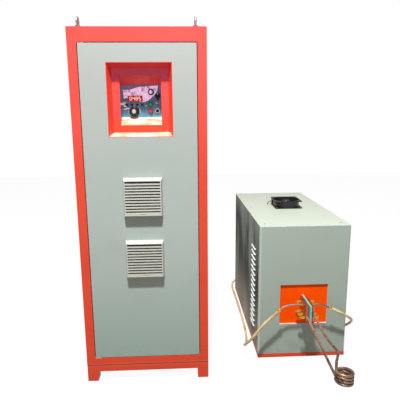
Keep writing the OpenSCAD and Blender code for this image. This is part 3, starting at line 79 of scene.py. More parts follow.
# %% The camera
image_px = 400
focal_px = 426.888
sensor_mm = 36
pan_deg, tilt_deg, roll_deg = 2.662, 11.149, -0.477
pan, tilt, roll = (math.radians(v) for v in (pan_deg, tilt_deg, roll_deg))
camera_at = in_cabinet(395.43, -1614.74, 1077.93)
look = Vector((math.cos(tilt) * math.sin(pan), math.cos(tilt) * math.cos(pan), -math.sin(tilt)))
level = look.cross(up).normalized()
above = level.cross(look)
side = math.cos(roll) * level + math.sin(roll) * above
above = side.cross(look)
camera = bpy.data.objects.new("camera", bpy.data.cameras.new("camera"))
camera.data.sensor_fit = "HORIZONTAL"
camera.data.sensor_width = sensor_mm
camera.data.lens = sensor_mm * focal_px / image_px
camera.data.clip_end = 30
camera.matrix_world = Matrix.Translation(camera_at) @ Matrix((side, above, -look)).transposed().to_4x4()
bpy.context.scene.collection.objects.link(camera)
bpy.context.scene.camera = camera
print("camera at", [round(v, 3) for v in camera_at], "lens", round(camera.data.lens, 2), "mm")

# %% [markdown]
# Node trees are drawings of sums. Written by hand they are long and hard to read, so a small class wraps a socket
# and lets Python's own operators add the Math nodes. A graph has one method for every other kind of node: its type,
# its settings, and the values or links of its sockets. Shader trees and geometry trees both use it.


# %% Wires and graphs
class Wire:
    def __init__(self, graph, socket):
        self.graph = graph
        self.socket = socket

    def sum(self, operation, other, swapped=False):
        pair = (other, self) if swapped else (self, other)
        return self.graph.node("ShaderNodeMath", {"operation": operation}, dict(enumerate(pair)))

    def __add__(self, other):
        return self.sum("ADD", other)

    def __sub__(self, other):
        return self.sum("SUBTRACT", other)

    def __rsub__(self, other):
        return self.sum("SUBTRACT", other, True)

    def __mul__(self, other):
        return self.sum("MULTIPLY", other)

    def __truediv__(self, other):
        return self.sum("DIVIDE", other)

    def __gt__(self, other):
        return self.sum("GREATER_THAN", other)

    def __lt__(self, other):
        return self.sum("LESS_THAN", other)

    def away(self):
        return self.graph.node("ShaderNodeMath", {"operation": "ABSOLUTE"}, {0: self})

    __radd__ = __add__
    __rmul__ = __mul__


class Graph:
    def __init__(self, tree):
        self.tree = tree

    def node(self, kind, settings=None, values=None, out=0):
        node = self.tree.nodes.new(kind)
        for name, value in (settings or {}).items():
            if name == "stops":
                while len(node.color_ramp.elements) < len(value):
                    node.color_ramp.elements.new(1)
                for element, (position, colour) in zip(node.color_ramp.elements, value):
                    element.position = position
                    element.color = colour
            else:
                setattr(node, name, value)
        for key, value in (values or {}).items():
            if isinstance(value, Wire):
                self.tree.links.new(value.socket, node.inputs[key])
            else:
                node.inputs[key].default_value = value
        return Wire(self, node.outputs[out])


print("wires and graphs are ready")

# %% [markdown]
# Colours are written as the eye reads them on a screen, from 0 to 255. The shader wants linear light, so one
# function converts them.


# %% Colours
def tone(red, green, blue):
    def linear(value):
        share = value / 255
        return share / 12.92 if share <= 0.04045 else ((share + 0.055) / 1.055) ** 2.4
    return (linear(red), linear(green), linear(blue), 1.0)


print("mid grey is", [round(v, 3) for v in tone(128, 128, 128)])

# %% [markdown]
# A finish is a Principled shader with patterns on the place of each point. Every piece sits at the origin with its
# place in its mesh, so Object coordinates are metres in the machine's own frame: a noise of scale 8 has patches of
# about 12 cm on every piece, and dust can gather near the floor.


# %% Finishes
class Finish(Graph):
    def __init__(self, name, slot, roughness=0.5, metallic=0.0, coat=0.0, glow=0.0, mirror=0.5):
        self.slot = slot
        self.material = bpy.data.materials.new(name)
        self.material.use_nodes = True
        super().__init__(self.material.node_tree)
        self.shader = next(n for n in self.tree.nodes if n.type == "BSDF_PRINCIPLED")
        for socket, value in (("Roughness", roughness), ("Metallic", metallic), ("Coat Weight", coat),
                              ("Emission Strength", glow), ("Specular IOR Level", mirror)):
            self.shader.inputs[socket].default_value = value
        self.place = self.node("ShaderNodeTexCoord", out="Object")

    def stretched(self, x, y, z):
        return self.node("ShaderNodeMapping", values={"Vector": self.place, "Scale": (x, y, z)})

    def noise(self, scale, detail=2.0, place=None):
        return self.node("ShaderNodeTexNoise", values={"Vector": place or self.place, "Scale": scale,
                                                       "Detail": detail})

    def band(self, value, low, high):
        return self.node("ShaderNodeMapRange", {"interpolation_type": "SMOOTHSTEP"},
                         {"Value": value, "From Min": low, "From Max": high})

    def clouds(self, scale, detail, low, high, place=None):
        return self.band(self.noise(scale, detail, place), low, high)

    def part_of(self, vector, name):
        return self.node("ShaderNodeSeparateXYZ", values={0: vector}, out=name)

    def axis(self, name):
        return self.part_of(self.place, name)

    def facing(self, name):
        return self.part_of(self.node("ShaderNodeNewGeometry", out="Normal"), name)

    def rise(self, low_mm, high_mm):
        return self.band(self.axis("Z"), low_mm * mm, high_mm * mm)

    def mix(self, first, second, share):
        return self.node("ShaderNodeMix", {"data_type": "RGBA"}, {0: share, 6: first, 7: second}, out=2)

    def feed(self, socket, wire):
        self.tree.links.new(wire.socket, self.shader.inputs[socket])

    def colour(self, wire):
        self.feed("Base Color", wire)

    def rough(self, wire):
        self.feed("Roughness", wire)

    def glow(self, wire):
        self.feed("Emission Color", wire)

    def grain(self, scale, detail, depth_mm):
        self.relief(self.noise(scale, detail), depth_mm)

    def relief(self, height, depth_mm):
        self.feed("Normal", self.node("ShaderNodeBump", values={"Height": height, "Distance": depth_mm * mm,
                                                                "Strength": 1.0}))


print("finishes are ready")

# %% [markdown]
# Powder coat is sprayed dry and baked, so it is even in colour with a fine orange peel. What makes it look used is
# slow variation in tone, a few dull patches where hands and rags went, and dust near the floor. Its tone also shifts
# a little from foot to top: bluer below, warmer above, and on the door darker below, which is painted shade of the
# lamp's falloff. Two coats have something more: a painted shadow line where the frame stands on its plinth, with a
# paler painted highlight band round it, and a painted highlight where the station's front sheet faces left or up.


# %% Powder coats
def powder_coat(name, slot, levels, shade, dusty, mirror=0.5, joint_mm=None, edge=None):
    coat = Finish(name, slot, coat=0.08, mirror=mirror)
    low, middle, high = levels
    broad = coat.clouds(2.2, 3, 0.35, 0.7)
    patches = coat.clouds(9, 5, 0.5, 0.72)
    dust = coat.rise(260, 0) * coat.clouds(26, 6, 0.35, 0.75)
    base = coat.mix(coat.mix(low, middle, coat.rise(100, 600)), high, coat.rise(700, 1300))
    base = coat.mix(base, shade, broad * 0.25 + patches * 0.15)
    base = coat.mix(base, dusty, dust * 0.35)
    # Painted shadow line at the frame's seam on its plinth, and a paler painted highlight band round it.
    if joint_mm:
        from_joint = (coat.axis("Z") - joint_mm * mm).away()
        base = coat.mix(base, tone(255, 132, 108), (from_joint < 6 * mm) * 0.3)
        base = coat.mix(base, tone(84, 24, 18), from_joint < 1.6 * mm)
    # Painted highlight on faces that look left or up.
    if edge:
        lit_faces_mask = coat.band(coat.facing("X"), -0.1, -0.5) + coat.band(coat.facing("Z"), 0.1, 0.5)
        base = coat.mix(base, edge, lit_faces_mask * 0.8)
    coat.colour(base)
    coat.rough(0.42 + patches * 0.12 + dust * 0.2)
    coat.grain(520, 2, 0.05)
    return coat


station_levels = tone(162, 178, 168), tone(170, 184, 174), tone(172, 186, 174)
station_wear = tone(160, 173, 163), tone(142, 146, 130)
red_levels = tone(236, 74, 42), tone(232, 78, 54), tone(234, 84, 78)
# The door's low level is darker: painted shade of the lamp's falloff towards the floor.
door_levels_painted_shade = tone(158, 179, 170), tone(178, 190, 184), tone(176, 180, 176)
# The lid's pale tone is painted light on the top of the station.
lid_tone_painted_light, blue_low, blue_high = tone(206, 214, 198), tone(44, 70, 120), tone(58, 86, 138)
red_coat = powder_coat("red_powder_coat", "red_paint", red_levels, tone(216, 60, 38), tone(190, 92, 64),
                       mirror=0.3, joint_mm=72)
cabinet_coat = powder_coat("door_powder_coat", "grey_green_paint", door_levels_painted_shade, tone(160, 172, 165),
                           tone(138, 146, 134))
station_coat = powder_coat("station_powder_coat", "station_paint", station_levels, *station_wear)
# The front sheet's edge tone is a painted highlight.
front_coat = powder_coat("station_front_coat", "station_paint", station_levels, *station_wear,
                         edge=tone(212, 226, 212))
lid_coat_painted_light = powder_coat("station_lid_coat", "station_paint", [lid_tone_painted_light] * 3, tone(194, 204, 184),
                       tone(190, 190, 174))
blue_coat = powder_coat("capacitor_enamel", "blue_case", (blue_low, blue_high, blue_high), blue_low,
                        tone(60, 70, 90))
print("powder coats:", len(bpy.data.materials))

# %% [markdown]
# The station's sides get painted shade in tall clouds, weaker near the top and on the right side, and painted warm
# light of the floor's bounce at their feet. Stretching a noise along Z gives such clouds. The louvres get a painted
# highlight near each lip and painted shade above it, so their tone repeats with the louvres' own pitch, and they
# glow.

# %% Painted shade on the sides and painted highlights on the louvres
louvres, louvre_pitch, louvre_low, louvre_high, louvre_out = 16, 25, 103, 13, 6
side_coat = Finish("station_side_coat", "station_paint", roughness=0.6, mirror=0.12)
# Painted shade on the sides in tall clouds, and painted warm floor-bounce light at their feet.
side_painted_shade = side_coat.clouds(7, 4, 0.34, 0.58, side_coat.stretched(1, 1, 0.28))
side_painted_shade = side_painted_shade * (1 - 0.55 * side_coat.rise(500, 620))
side_painted_shade = side_painted_shade * (1 - 0.6 * (side_coat.axis("X") > in_station(station_w / 2, 0, 0).x))
side_tone = side_coat.mix(tone(176, 182, 172), tone(48, 50, 44), side_painted_shade * 0.9)
side_coat.colour(side_coat.mix(side_tone, tone(208, 200, 182), side_coat.rise(340, 40) * 0.75))
side_coat.rough(0.55 + side_painted_shade * 0.15)
side_coat.grain(520, 2, 0.05)
# Painted highlight on the lower part of each louvre, painted shade above it, and a glow of the same colour.
louvre_light_and_shade_coat = Finish("rubbed_louvre_coat", "station_paint", roughness=0.36, glow=0.4)
louvre_step = louvre_light_and_shade_coat.node("ShaderNodeMath", {"operation": "FRACT"},
                               {0: (louvre_light_and_shade_coat.axis("Z") - louvre_low * mm) / (louvre_pitch * mm)})
louvre_highlight_and_shade = louvre_light_and_shade_coat.mix(tone(84, 88, 82), tone(250, 252, 248), louvre_light_and_shade_coat.band(louvre_step, 0.34, 0.24))
louvre_light_and_shade_coat.colour(louvre_highlight_and_shade)
louvre_light_and_shade_coat.glow(louvre_highlight_and_shade)
print("louvres repeat every", louvre_pitch, "mm")

# %% [markdown]
# In the recess the sills get painted light: near white, streaked tan, as if the lamp above washed them out. That
# shows only where a surface looks up, so the direction that the face looks in is the mask. The ceiling gets painted
# shade, the frame round the panel has a painted pink glow at its top where it lies in shade, and the whole recess has
# a faint painted red glow.

# %% Painted light and shade in the recess
recess_coat = Finish("recess_coat", "red_paint", roughness=0.4, coat=0.1, glow=0.14, mirror=0.3)
# Painted light: up-facing surfaces below 1100 mm turn near white with tan streaks.
sill_painted_light_mask = recess_coat.band(recess_coat.facing("Z"), 0.3, 0.75) * (recess_coat.axis("Z") < 1100 * mm)
ceiling_painted_shade = recess_coat.band(recess_coat.facing("Z"), -0.2, -0.7)
sill_light_streaks = recess_coat.clouds(30, 4, 0.44, 0.6, recess_coat.stretched(0.5, 1, 2.5))
sill = recess_coat.mix(tone(220, 210, 196), tone(190, 140, 84), sill_light_streaks * 0.8)
wall_red = recess_coat.mix(tone(232, 80, 62), tone(230, 68, 42), recess_coat.noise(9, 3))
# Painted shade on faces that look down.
wall_red = recess_coat.mix(wall_red, tone(222, 76, 76), ceiling_painted_shade)
recess_coat.colour(recess_coat.mix(wall_red, sill, sill_painted_light_mask))
# Painted glow: pink on front faces between 1040 and 1110 mm, faint red elsewhere.
frame_top_painted_glow = recess_coat.band(recess_coat.facing("Y"), -0.9, -0.99) * recess_coat.rise(1040, 1110)
recess_coat.glow(recess_coat.mix(tone(200, 44, 30), tone(206, 96, 156), frame_top_painted_glow))
recess_coat.grain(520, 2, 0.05)
print("the recess is bleached below 1100 mm")

# %% [markdown]
# The control panel fades from navy above to teal below, which is painted shade of the recess's top, and has painted
# white glints in a row beside the knob. The whole panel glows a little in its own colour, which is painted light too.

# %% Painted shade and glints on the panel
panel_coat = Finish("control_panel_coat", "panel_blue", roughness=0.34, coat=0.15, glow=0.3)
# Painted glints in a row beside the knob, painted shade towards the panel's top, and a glow of its own colour.
panel_painted_glints = panel_coat.clouds(44, 3, 0.6, 0.66, panel_coat.stretched(0.8, 1, 1.3))
panel_painted_glints = panel_painted_glints * (panel_coat.rise(1141, 1124) * panel_coat.rise(1084, 1106))
panel_tone = panel_coat.mix(tone(112, 118, 158), tone(84, 140, 156), panel_coat.rise(1150, 1085))
panel_tone = panel_coat.mix(panel_tone, tone(70, 96, 130), panel_coat.clouds(30, 3, 0.4, 0.62) * 0.6)
panel_tone = panel_coat.mix(panel_tone, tone(250, 250, 255), panel_painted_glints * 0.9)
panel_coat.colour(panel_tone)
panel_coat.glow(panel_tone)
panel_coat.grain(900, 2, 0.03)
print("sheets with a pattern of their own: 4")

# %% [markdown]
# Moulded plastics differ in sheen and in the fine spark-eroded grain of their mould. Rubber and filter mat are
# duller, lenses are glossier. Lamps, buttons and the display glow in their own colour; the white dial print and the
# orange board get a painted glow though they are no lamps, the fan blades' purple grey is a painted sheen, and the
# filter mat's dark brown is painted shade.


# %% Plastics and rubber
def moulded(name, slot, colour, shade, roughness=0.45, depth=0.03, coat=0.0, glow=0.0, mirror=0.5):
    plastic = Finish(name, slot, roughness=roughness, coat=coat, glow=glow, mirror=mirror)
    mixed = plastic.mix(colour, shade, plastic.clouds(38, 4, 0.3, 0.75) * 0.6)
    plastic.colour(mixed)
    if glow:
        plastic.glow(mixed)
    plastic.rough(roughness + plastic.clouds(14, 5, 0.45, 0.8) * 0.14)
    plastic.grain(1500, 1, depth)
    return plastic


black_plastic = moulded("black_moulding", "black_plastic", tone(34, 34, 37), tone(22, 22, 25), 0.38)
fan_plastic = moulded("fan_moulding", "black_plastic", tone(30, 30, 34), tone(20, 20, 24), 0.3)
# The blades' purple grey is a painted sheen on black plastic.
blade_plastic_painted_sheen = moulded("fan_blades", "black_plastic", tone(112, 104, 128), tone(70, 66, 84), 0.18, coat=0.3)
sleeve_plastic = moulded("terminal_sleeve", "red_button", tone(196, 92, 74), tone(160, 66, 54), 0.4)
vent_moulding = moulded("vent_base_moulding", "grille_plastic", tone(196, 200, 190), tone(186, 190, 178), 0.5,
                        mirror=0.3)
beige_resin = moulded("capacitor_resin", "capacitor_beige", tone(206, 196, 172), tone(190, 180, 156), 0.5)
teal_laminate = moulded("teal_insulating_laminate", "teal_board", tone(118, 214, 204), tone(92, 190, 184), 0.35)
# The orange board's glow is painted light; the board is no lamp.
orange_laminate = moulded("orange_board_laminate", "orange_board", tone(255, 86, 0), tone(255, 74, 0), 0.5,
                          glow=0.08, mirror=0.08)
black_rubber = moulded("black_rubber", "black_rubber", tone(30, 30, 31), tone(20, 20, 21), 0.75, 0.06)
# The mat's dark brown is painted shade for the gaps between the slats.
filter_wool_painted_shade = moulded("filter_mat", "black_rubber", tone(62, 58, 48), tone(40, 38, 32), 0.95, 0.5)
# The white marks and lever get a painted glow, though they are no lamps.
white_plastic_painted_glow = moulded("dial_marks", "label_film", tone(240, 242, 248), tone(226, 228, 236), 0.4, glow=0.35)
lens_plastic = moulded("dark_purple_lens", "lamp_lens", tone(78, 52, 92), tone(54, 34, 68), 0.16, 0.0, 0.5)
green_lens = moulded("green_button_lens", "green_button", tone(0, 176, 66), tone(0, 150, 52), 0.25, 0.0, 0.4,
                     0.35)
red_lens = moulded("red_button_lens", "red_button", tone(250, 28, 64), tone(236, 14, 48), 0.25, 0.0, 0.4, 0.35)
lamp_red = moulded("lit_red_lamp", "red_button", tone(238, 60, 76), tone(224, 40, 58), 0.2, 0.0, 0.4, 0.5)
display_glass = moulded("display_window", "display_red", tone(206, 22, 40), tone(170, 12, 28), 0.12, 0.0, 0.6,
                        0.3)
digit_light = moulded("display_digits", "display_red", tone(255, 236, 214), tone(255, 210, 190), 0.4, 0.0,
                      glow=1.0)
print("finishes so far:", len(bpy.data.materials))

# %% [markdown]
# Three soft or thin materials have a pattern of their own. The label is a crumpled film: narrow bands of one noise
# give its creases, painted as pale highlight lines, and the film has a painted glow. The vents' grilles get painted
# shade between their slats, behind the front edge.
# Silicone hose yellows unevenly along its length, so it gets slow warm patches and darker smears.

# %% Label film, grilles and hose rubber
# The label film has a painted glow of its own colour.
label_film = Finish("label_film", "label_film", roughness=0.24, coat=0.3, glow=0.5)
creases = label_film.noise(70, 3, label_film.stretched(1, 1, 0.6))
# Painted highlight lines along the creases.
crease_painted_highlights = label_film.band(creases, 0.44, 0.5) * label_film.band(creases, 0.56, 0.5)
blotches = label_film.clouds(60, 4, 0.5, 0.58)
film_tone = label_film.mix(tone(246, 206, 252), tone(176, 124, 192), blotches * 0.85)
film_tone = label_film.mix(film_tone, tone(255, 250, 255), crease_painted_highlights * 0.8)
label_film.colour(film_tone)
label_film.glow(film_tone)
label_film.relief(creases, 0.6)
vent_x, vent_levels = 253, (775, 529.5)
vent_mid, vent_half = sum(vent_levels) / 2, (vent_levels[0] - vent_levels[1]) / 2
slats_half, slats_side = 60.5, 68
grille_plastic = Finish("filter_grille_moulding", "grille_plastic", roughness=0.5, mirror=0.3)
slat_tone = grille_plastic.mix(tone(212, 213, 204), tone(200, 201, 190), grille_plastic.noise(38, 4))
from_mid = (grille_plastic.axis("Z") - vent_mid * mm).away()
in_field = (from_mid - vent_half * mm).away() < slats_half * mm
in_field = in_field * ((grille_plastic.axis("X") - in_cabinet(vent_x, 0, 0).x).away() < slats_side * mm)
grille_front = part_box("upper_vent_grille")[0].y
# Painted shade between the slats, just behind the grille's front.
depth = grille_plastic.band(grille_plastic.axis("Y"), grille_front + 0.1 * mm, grille_front + 0.7 * mm)
grille_plastic.colour(grille_plastic.mix(slat_tone, tone(50, 42, 28), depth * in_field * 0.95))
grille_plastic.grain(1500, 1, 0.03)
hose_rubber = Finish("yellowed_hose", "cream_hose", roughness=0.42, coat=0.15)
hose_smears = hose_rubber.clouds(60, 5, 0.52, 0.78)
hose_patches = hose_rubber.clouds(16, 4, 0.35, 0.68)
hose_tone = hose_rubber.mix(tone(234, 214, 166), tone(196, 156, 88), hose_patches * 0.85)
hose_rubber.colour(hose_rubber.mix(hose_tone, tone(128, 96, 48), hose_smears * 0.5))
hose_rubber.rough(0.36 + hose_smears * 0.25)
hose_rubber.grain(700, 2, 0.05)
print("the vents' middle is at", vent_mid, "mm")

# %% [markdown]
# Metals need their patterns in the reflection more than in the colour. Drawn copper near the coil has been red hot,
# so its oxide goes from pink near the plates to dull brown at the turns. Brass, zinc and milled aluminium each have
# their own scratch direction, made by stretching one noise along an axis.


# %% Metals
def metal(name, slot, colour, shade, roughness, along=(1, 1, 1)):
    sheet = Finish(name, slot, roughness=roughness, metallic=1.0)
    lines = sheet.noise(90, 3, sheet.stretched(*along))
    cloud = sheet.clouds(22, 4, 0.3, 0.72)
    sheet.colour(sheet.mix(colour, shade, cloud * 0.7))
    sheet.rough(roughness + lines * 0.16 + cloud * 0.08)
    sheet.relief(lines, 0.03)
    return sheet


zinc = metal("zinc_plate", "steel", tone(190, 192, 194), tone(160, 162, 166), 0.32, (1, 1, 6))
aluminium = metal("milled_aluminium", "aluminium", tone(214, 216, 218), tone(190, 192, 196), 0.34, (1, 1, 14))
brass = metal("turned_brass", "brass", tone(238, 186, 72), tone(202, 144, 40), 0.3, (12, 1, 1))
chrome = metal("bright_cap", "steel", tone(240, 238, 244), tone(224, 220, 230), 0.34)
stub_metal = metal("tinned_stub", "copper", tone(156, 146, 142), tone(104, 94, 90), 0.4, (1, 8, 8))
plate_copper = metal("plate_copper", "copper", tone(206, 132, 104), tone(158, 84, 62), 0.36, (1, 10, 1))
coil_copper = Finish("coil_copper", "copper", roughness=0.4, metallic=0.75)
heat = coil_copper.band(coil_copper.axis("Y"), in_station(0, -150, 0).y, in_station(0, -440, 0).y)
soot = coil_copper.clouds(48, 5, 0.4, 0.7)
pink = coil_copper.mix(tone(222, 162, 140), tone(184, 116, 94), soot)
brown = coil_copper.mix(tone(156, 126, 106), tone(82, 66, 56), soot)
coil_copper.colour(coil_copper.mix(pink, brown, heat))
coil_copper.rough(0.34 + soot * 0.2 + heat * 0.08)
coil_copper.grain(160, 4, 0.12)
print("metals: 7")

# %% [markdown]
# Three inner finishes have a pattern of their own: a circuit board with its copper traces under green lacquer, a
# core of stacked steel sheets, and enamelled winding wire.

# %% Inner finishes
board_green = Finish("circuit_board", "board_green", roughness=0.32, coat=0.3)
traces = board_green.node("ShaderNodeTexBrick", {"offset": 0.37},
                          {"Vector": board_green.place, "Scale": 60.0, "Mortar Size": 0.03,
                           "Color1": tone(26, 104, 58), "Color2": tone(20, 88, 48),
                           "Mortar": tone(60, 140, 84)})
board_green.colour(board_green.mix(traces, tone(18, 70, 40), board_green.clouds(30, 3, 0.4, 0.7)))
core_steel = Finish("stacked_core", "core_grey", roughness=0.5, metallic=0.7)
sheets = core_steel.node("ShaderNodeTexWave", {"bands_direction": "X"},
                         {"Vector": core_steel.place, "Scale": 320.0, "Distortion": 0.2})
core_steel.colour(core_steel.mix(tone(92, 94, 98), tone(52, 52, 56), sheets))
core_steel.relief(sheets, 0.1)
winding_copper = Finish("winding_wire", "copper", roughness=0.3, metallic=0.6, coat=0.4)
winding_copper.colour(winding_copper.mix(tone(186, 104, 58), tone(140, 70, 36),
                                         winding_copper.noise(40, 3, winding_copper.stretched(1, 1, 5))))
print("inner finishes: 3")

# %% [markdown]
# Everything that isn't a CAD node is made on a small bench: it collects rings, blocks and tubes in one mesh. Turned
# pieces come from a profile of radius and height pairs, spun about any axis. The mesh is merged and its faces turned
# outwards before it becomes a piece.


# %% The bench
def aim(direction):
    return Vector(direction).normalized().to_track_quat("Z", "Y").to_matrix().to_4x4()


class Bench:
    def __init__(self):
        self.mesh = bmesh.new()

    def add(self, points, faces, place=Matrix.Identity(4)):
        made = [self.mesh.verts.new(place @ Vector(p)) for p in points]
        for face in faces:
            self.mesh.faces.new([made[i] for i in face])

    def turned(self, profile, at, along=up, sides=32):
        rows = len(profile)
        turns = [2 * math.pi * k / sides for k in range(sides)]
        points = [Vector((r * math.cos(turn), r * math.sin(turn), h)) * mm for turn in turns for r, h in profile]
        loop = range(rows if profile[0][0] and profile[-1][0] else rows - 1)
        faces = [(k * rows + i, (k + 1) % sides * rows + i, (k + 1) % sides * rows + (i + 1) % rows,
                  k * rows + (i + 1) % rows) for k in range(sides) for i in loop]
        self.add(points, faces, Matrix.Translation(at) @ aim(along))
        return self

    def block(self, corner, size, place=Matrix.Identity(4)):
        points = [corner + Vector((x * size[0], y * size[1], z * size[2])) * mm
                  for z in (0, 1) for y in (0, 1) for x in (0, 1)]
        faces = [(0, 2, 3, 1), (4, 5, 7, 6), (0, 1, 5, 4), (2, 6, 7, 3), (0, 4, 6, 2), (1, 3, 7, 5)]
        self.add(points, faces, place)
        return self

    def ring(self, radius, wire, at, along=up, sides=40):
        turns = [2 * math.pi * k / 16 for k in range(16)]
        profile = [(radius + wire * math.cos(turn), wire * math.sin(turn)) for turn in turns]
        return self.turned(profile, at, along, sides)

    def joined(self, mesh, place=Matrix.Identity(4)):
        self.add([v.co for v in mesh.vertices], [tuple(p.vertices) for p in mesh.polygons], place)
        return self

    def done(self, name):
        bmesh.ops.remove_doubles(self.mesh, verts=self.mesh.verts, dist=mm / 100)
        bmesh.ops.dissolve_degenerate(self.mesh, edges=self.mesh.edges, dist=mm / 100)
        bmesh.ops.recalc_face_normals(self.mesh, faces=self.mesh.faces)
        data = bpy.data.meshes.new(name)
        self.mesh.to_mesh(data)
        self.mesh.free()
        return data


print("the bench is ready")

# %% [markdown]
# A mesh becomes a piece in the same way each time: it gets its finish, rides on a body and hides the CAD nodes
# it stands for. A thing whose modifiers have done their work is settled first: the evaluated shape is kept as a plain
# mesh and the thing itself is removed.

# %% From a mesh to a piece
smooth_deg = 32
made_pieces = []


def linked(data):
    thing = bpy.data.objects.new("thing", data)
    bpy.context.scene.collection.objects.link(thing)
    return thing


def settled(thing):
    bpy.context.view_layer.update()
    data = bpy.data.meshes.new_from_object(thing.evaluated_get(bpy.context.evaluated_depsgraph_get()))
    thing.modifiers.clear()
    bpy.data.objects.remove(thing)
    return data


def dressed(name, data, finish, stands_for, body):
    data.materials.clear()
    data.materials.append(finish.material)
    piece = linked(data)
    piece.name = name
    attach(piece, body)
    if stands_for:
        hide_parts(*stands_for)
    made_pieces.append(name)
    return piece


def put(name, shape, finish, *stands_for, body="root"):
    data = shape.done(name) if isinstance(shape, Bench) else shape
    for face in data.polygons:
        face.use_smooth = True
    data.set_sharp_from_angle(angle=math.radians(smooth_deg))
    return dressed(name, data, finish, stands_for, body)


print("pieces can be put in place")

# %% [markdown]
# Sharp edges give a model away. A CAD node whose shape is right gets a copy with its edges rounded: the copy is
# merged and its flat faces are joined, so that a Bevel modifier finds clean corners. Frames with one large opening
# are cut again where a face is hollow. With Weighted Normals the small edges catch the light as a folded sheet or a
# sawn bar does. The CAD node itself stays as it is, hidden behind the copy.


# %% Rounded copies
def rounded(node, finish, radius, body="root", hollow=False):
    work = bmesh.new()
    work.from_mesh(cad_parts[node].data)
    bmesh.ops.remove_doubles(work, verts=work.verts, dist=mm / 100)
    bmesh.ops.dissolve_limit(work, angle_limit=math.radians(0.5), verts=work.verts, edges=work.edges)
    if hollow:
        bmesh.ops.connect_verts_concave(work, faces=work.faces)
    data = bpy.data.meshes.new(node + "_copy")
    work.to_mesh(data)
    work.free()
    for face in data.polygons:
        face.use_smooth = True
    copy = linked(data)
    bevel = copy.modifiers.new("edges", "BEVEL")
    bevel.width = radius * mm
    bevel.segments = 2
    bevel.limit_method = "ANGLE"
    bevel.angle_limit = math.radians(smooth_deg)
    copy.modifiers.new("normals", "WEIGHTED_NORMAL").keep_sharp = True
    dressed(node + "_finished", settled(copy), finish, [node], body)


print("rounded copies are ready")

# %% [markdown]
# Tubes follow a path: the work coil, its water stubs, the hoses and the fan's lead. One Geometry Nodes tree sweeps a
# circle along a curve. Its inputs are the radius, the number of sides and the finish. The result is realised and
# turned into a plain mesh, because the exporter drops what is still live.


# %% A tree that sweeps a tube
kinds = {"Radius": "Float", "Sides": "Int", "Count": "Int", "Item": "Object", "Finish": "Material"}


def new_tree(name, *inputs):
    tree = bpy.data.node_groups.new(name, "GeometryNodeTree")
    tree.interface.new_socket("Geometry", in_out="INPUT", socket_type="NodeSocketGeometry")
    for title in inputs + ("Finish",):
        tree.interface.new_socket(title, in_out="INPUT", socket_type="NodeSocket" + kinds[title])
    tree.interface.new_socket("Geometry", in_out="OUTPUT", socket_type="NodeSocketGeometry")
    return Graph(tree)


def given(graph, name):
    return graph.node("NodeGroupInput", out=name)


def end_tree(graph, geometry):
    real = graph.node("GeometryNodeRealizeInstances", values={"Geometry": geometry})
    coated = graph.node("GeometryNodeSetMaterial", values={"Geometry": real, "Material": given(graph, "Finish")})
    output = graph.tree.nodes.new("NodeGroupOutput")
    graph.tree.links.new(coated.socket, output.inputs[0])


tube_graph = new_tree("tube_along_a_path", "Radius", "Sides")
circle = tube_graph.node("GeometryNodeCurvePrimitiveCircle",
                         values={"Resolution": given(tube_graph, "Sides"), "Radius": given(tube_graph, "Radius")})
swept = tube_graph.node("GeometryNodeCurveToMesh",
                        values={0: given(tube_graph, "Geometry"), "Profile Curve": circle, "Fill Caps": True})
end_tree(tube_graph, swept)


def grown(data, graph, finish, settings, item=None):
    source = linked(data)
    modifier = source.modifiers.new("growth", "NODES")
    modifier.node_group = graph.tree
    sockets = {entry.name: entry.identifier for entry in graph.tree.interface.items_tree
               if entry.in_out == "INPUT"}
    if item:
        settings = {**settings, "Item": linked(item)}
    for title, value in {**settings, "Finish": finish.material}.items():
        modifier[sockets[title]] = value
    made = settled(source)
    if item:
        bpy.data.objects.remove(settings["Item"])
    return made


def tube(path, radius_mm, finish, sides=16):
    curve = bpy.data.curves.new("path", "CURVE")
    curve.dimensions = "3D"
    spline = curve.splines.new("POLY")
    spline.points.add(len(path) - 1)
    for point, place in zip(spline.points, path):
        point.co = (*place, 1)
    return grown(curve, tube_graph, finish, {"Radius": radius_mm * mm, "Sides": sides})


print("tube tree nodes:", len(tube_graph.tree.nodes))

# %% [markdown]
# A route is a short list of given points. A smooth curve through all of them is worked out between each
# pair from their neighbours, so the hose bends evenly and still passes through every point of the list.


# %% Smooth routes
def smooth_route(points, steps=6):
    points = [Vector(p) for p in points]
    result = []
    for i in range(len(points) - 1):
        a, b = points[max(i - 1, 0)], points[i]
        c, d = points[i + 1], points[min(i + 2, len(points) - 1)]
        for k in range(steps):
            u = k / steps
            result.append((2 * b + (c - a) * u + (2 * a - 5 * b + 4 * c - d) * u * u
                           + (3 * b - a - 3 * c + d) * u ** 3) / 2)
    return result + [points[-1]]


def length_of(points):
    return sum((b - a).length for a, b in zip(points, points[1:]))


print("a straight metre measures", round(length_of(smooth_route([(0, 0, 0), (0.5, 0, 0), (1, 0, 0)])), 3))

# %% [markdown]
# Two silicone hoses bring the coil's cooling water. Each is pushed over a metal stub at the output head, falls to
# the floor beside the station, runs along it and turns into a nipple at the back. The fan's lead is a short black
# cord from its terminal into the lid. All three repeat the routes of the model, in metres from the station's corner.

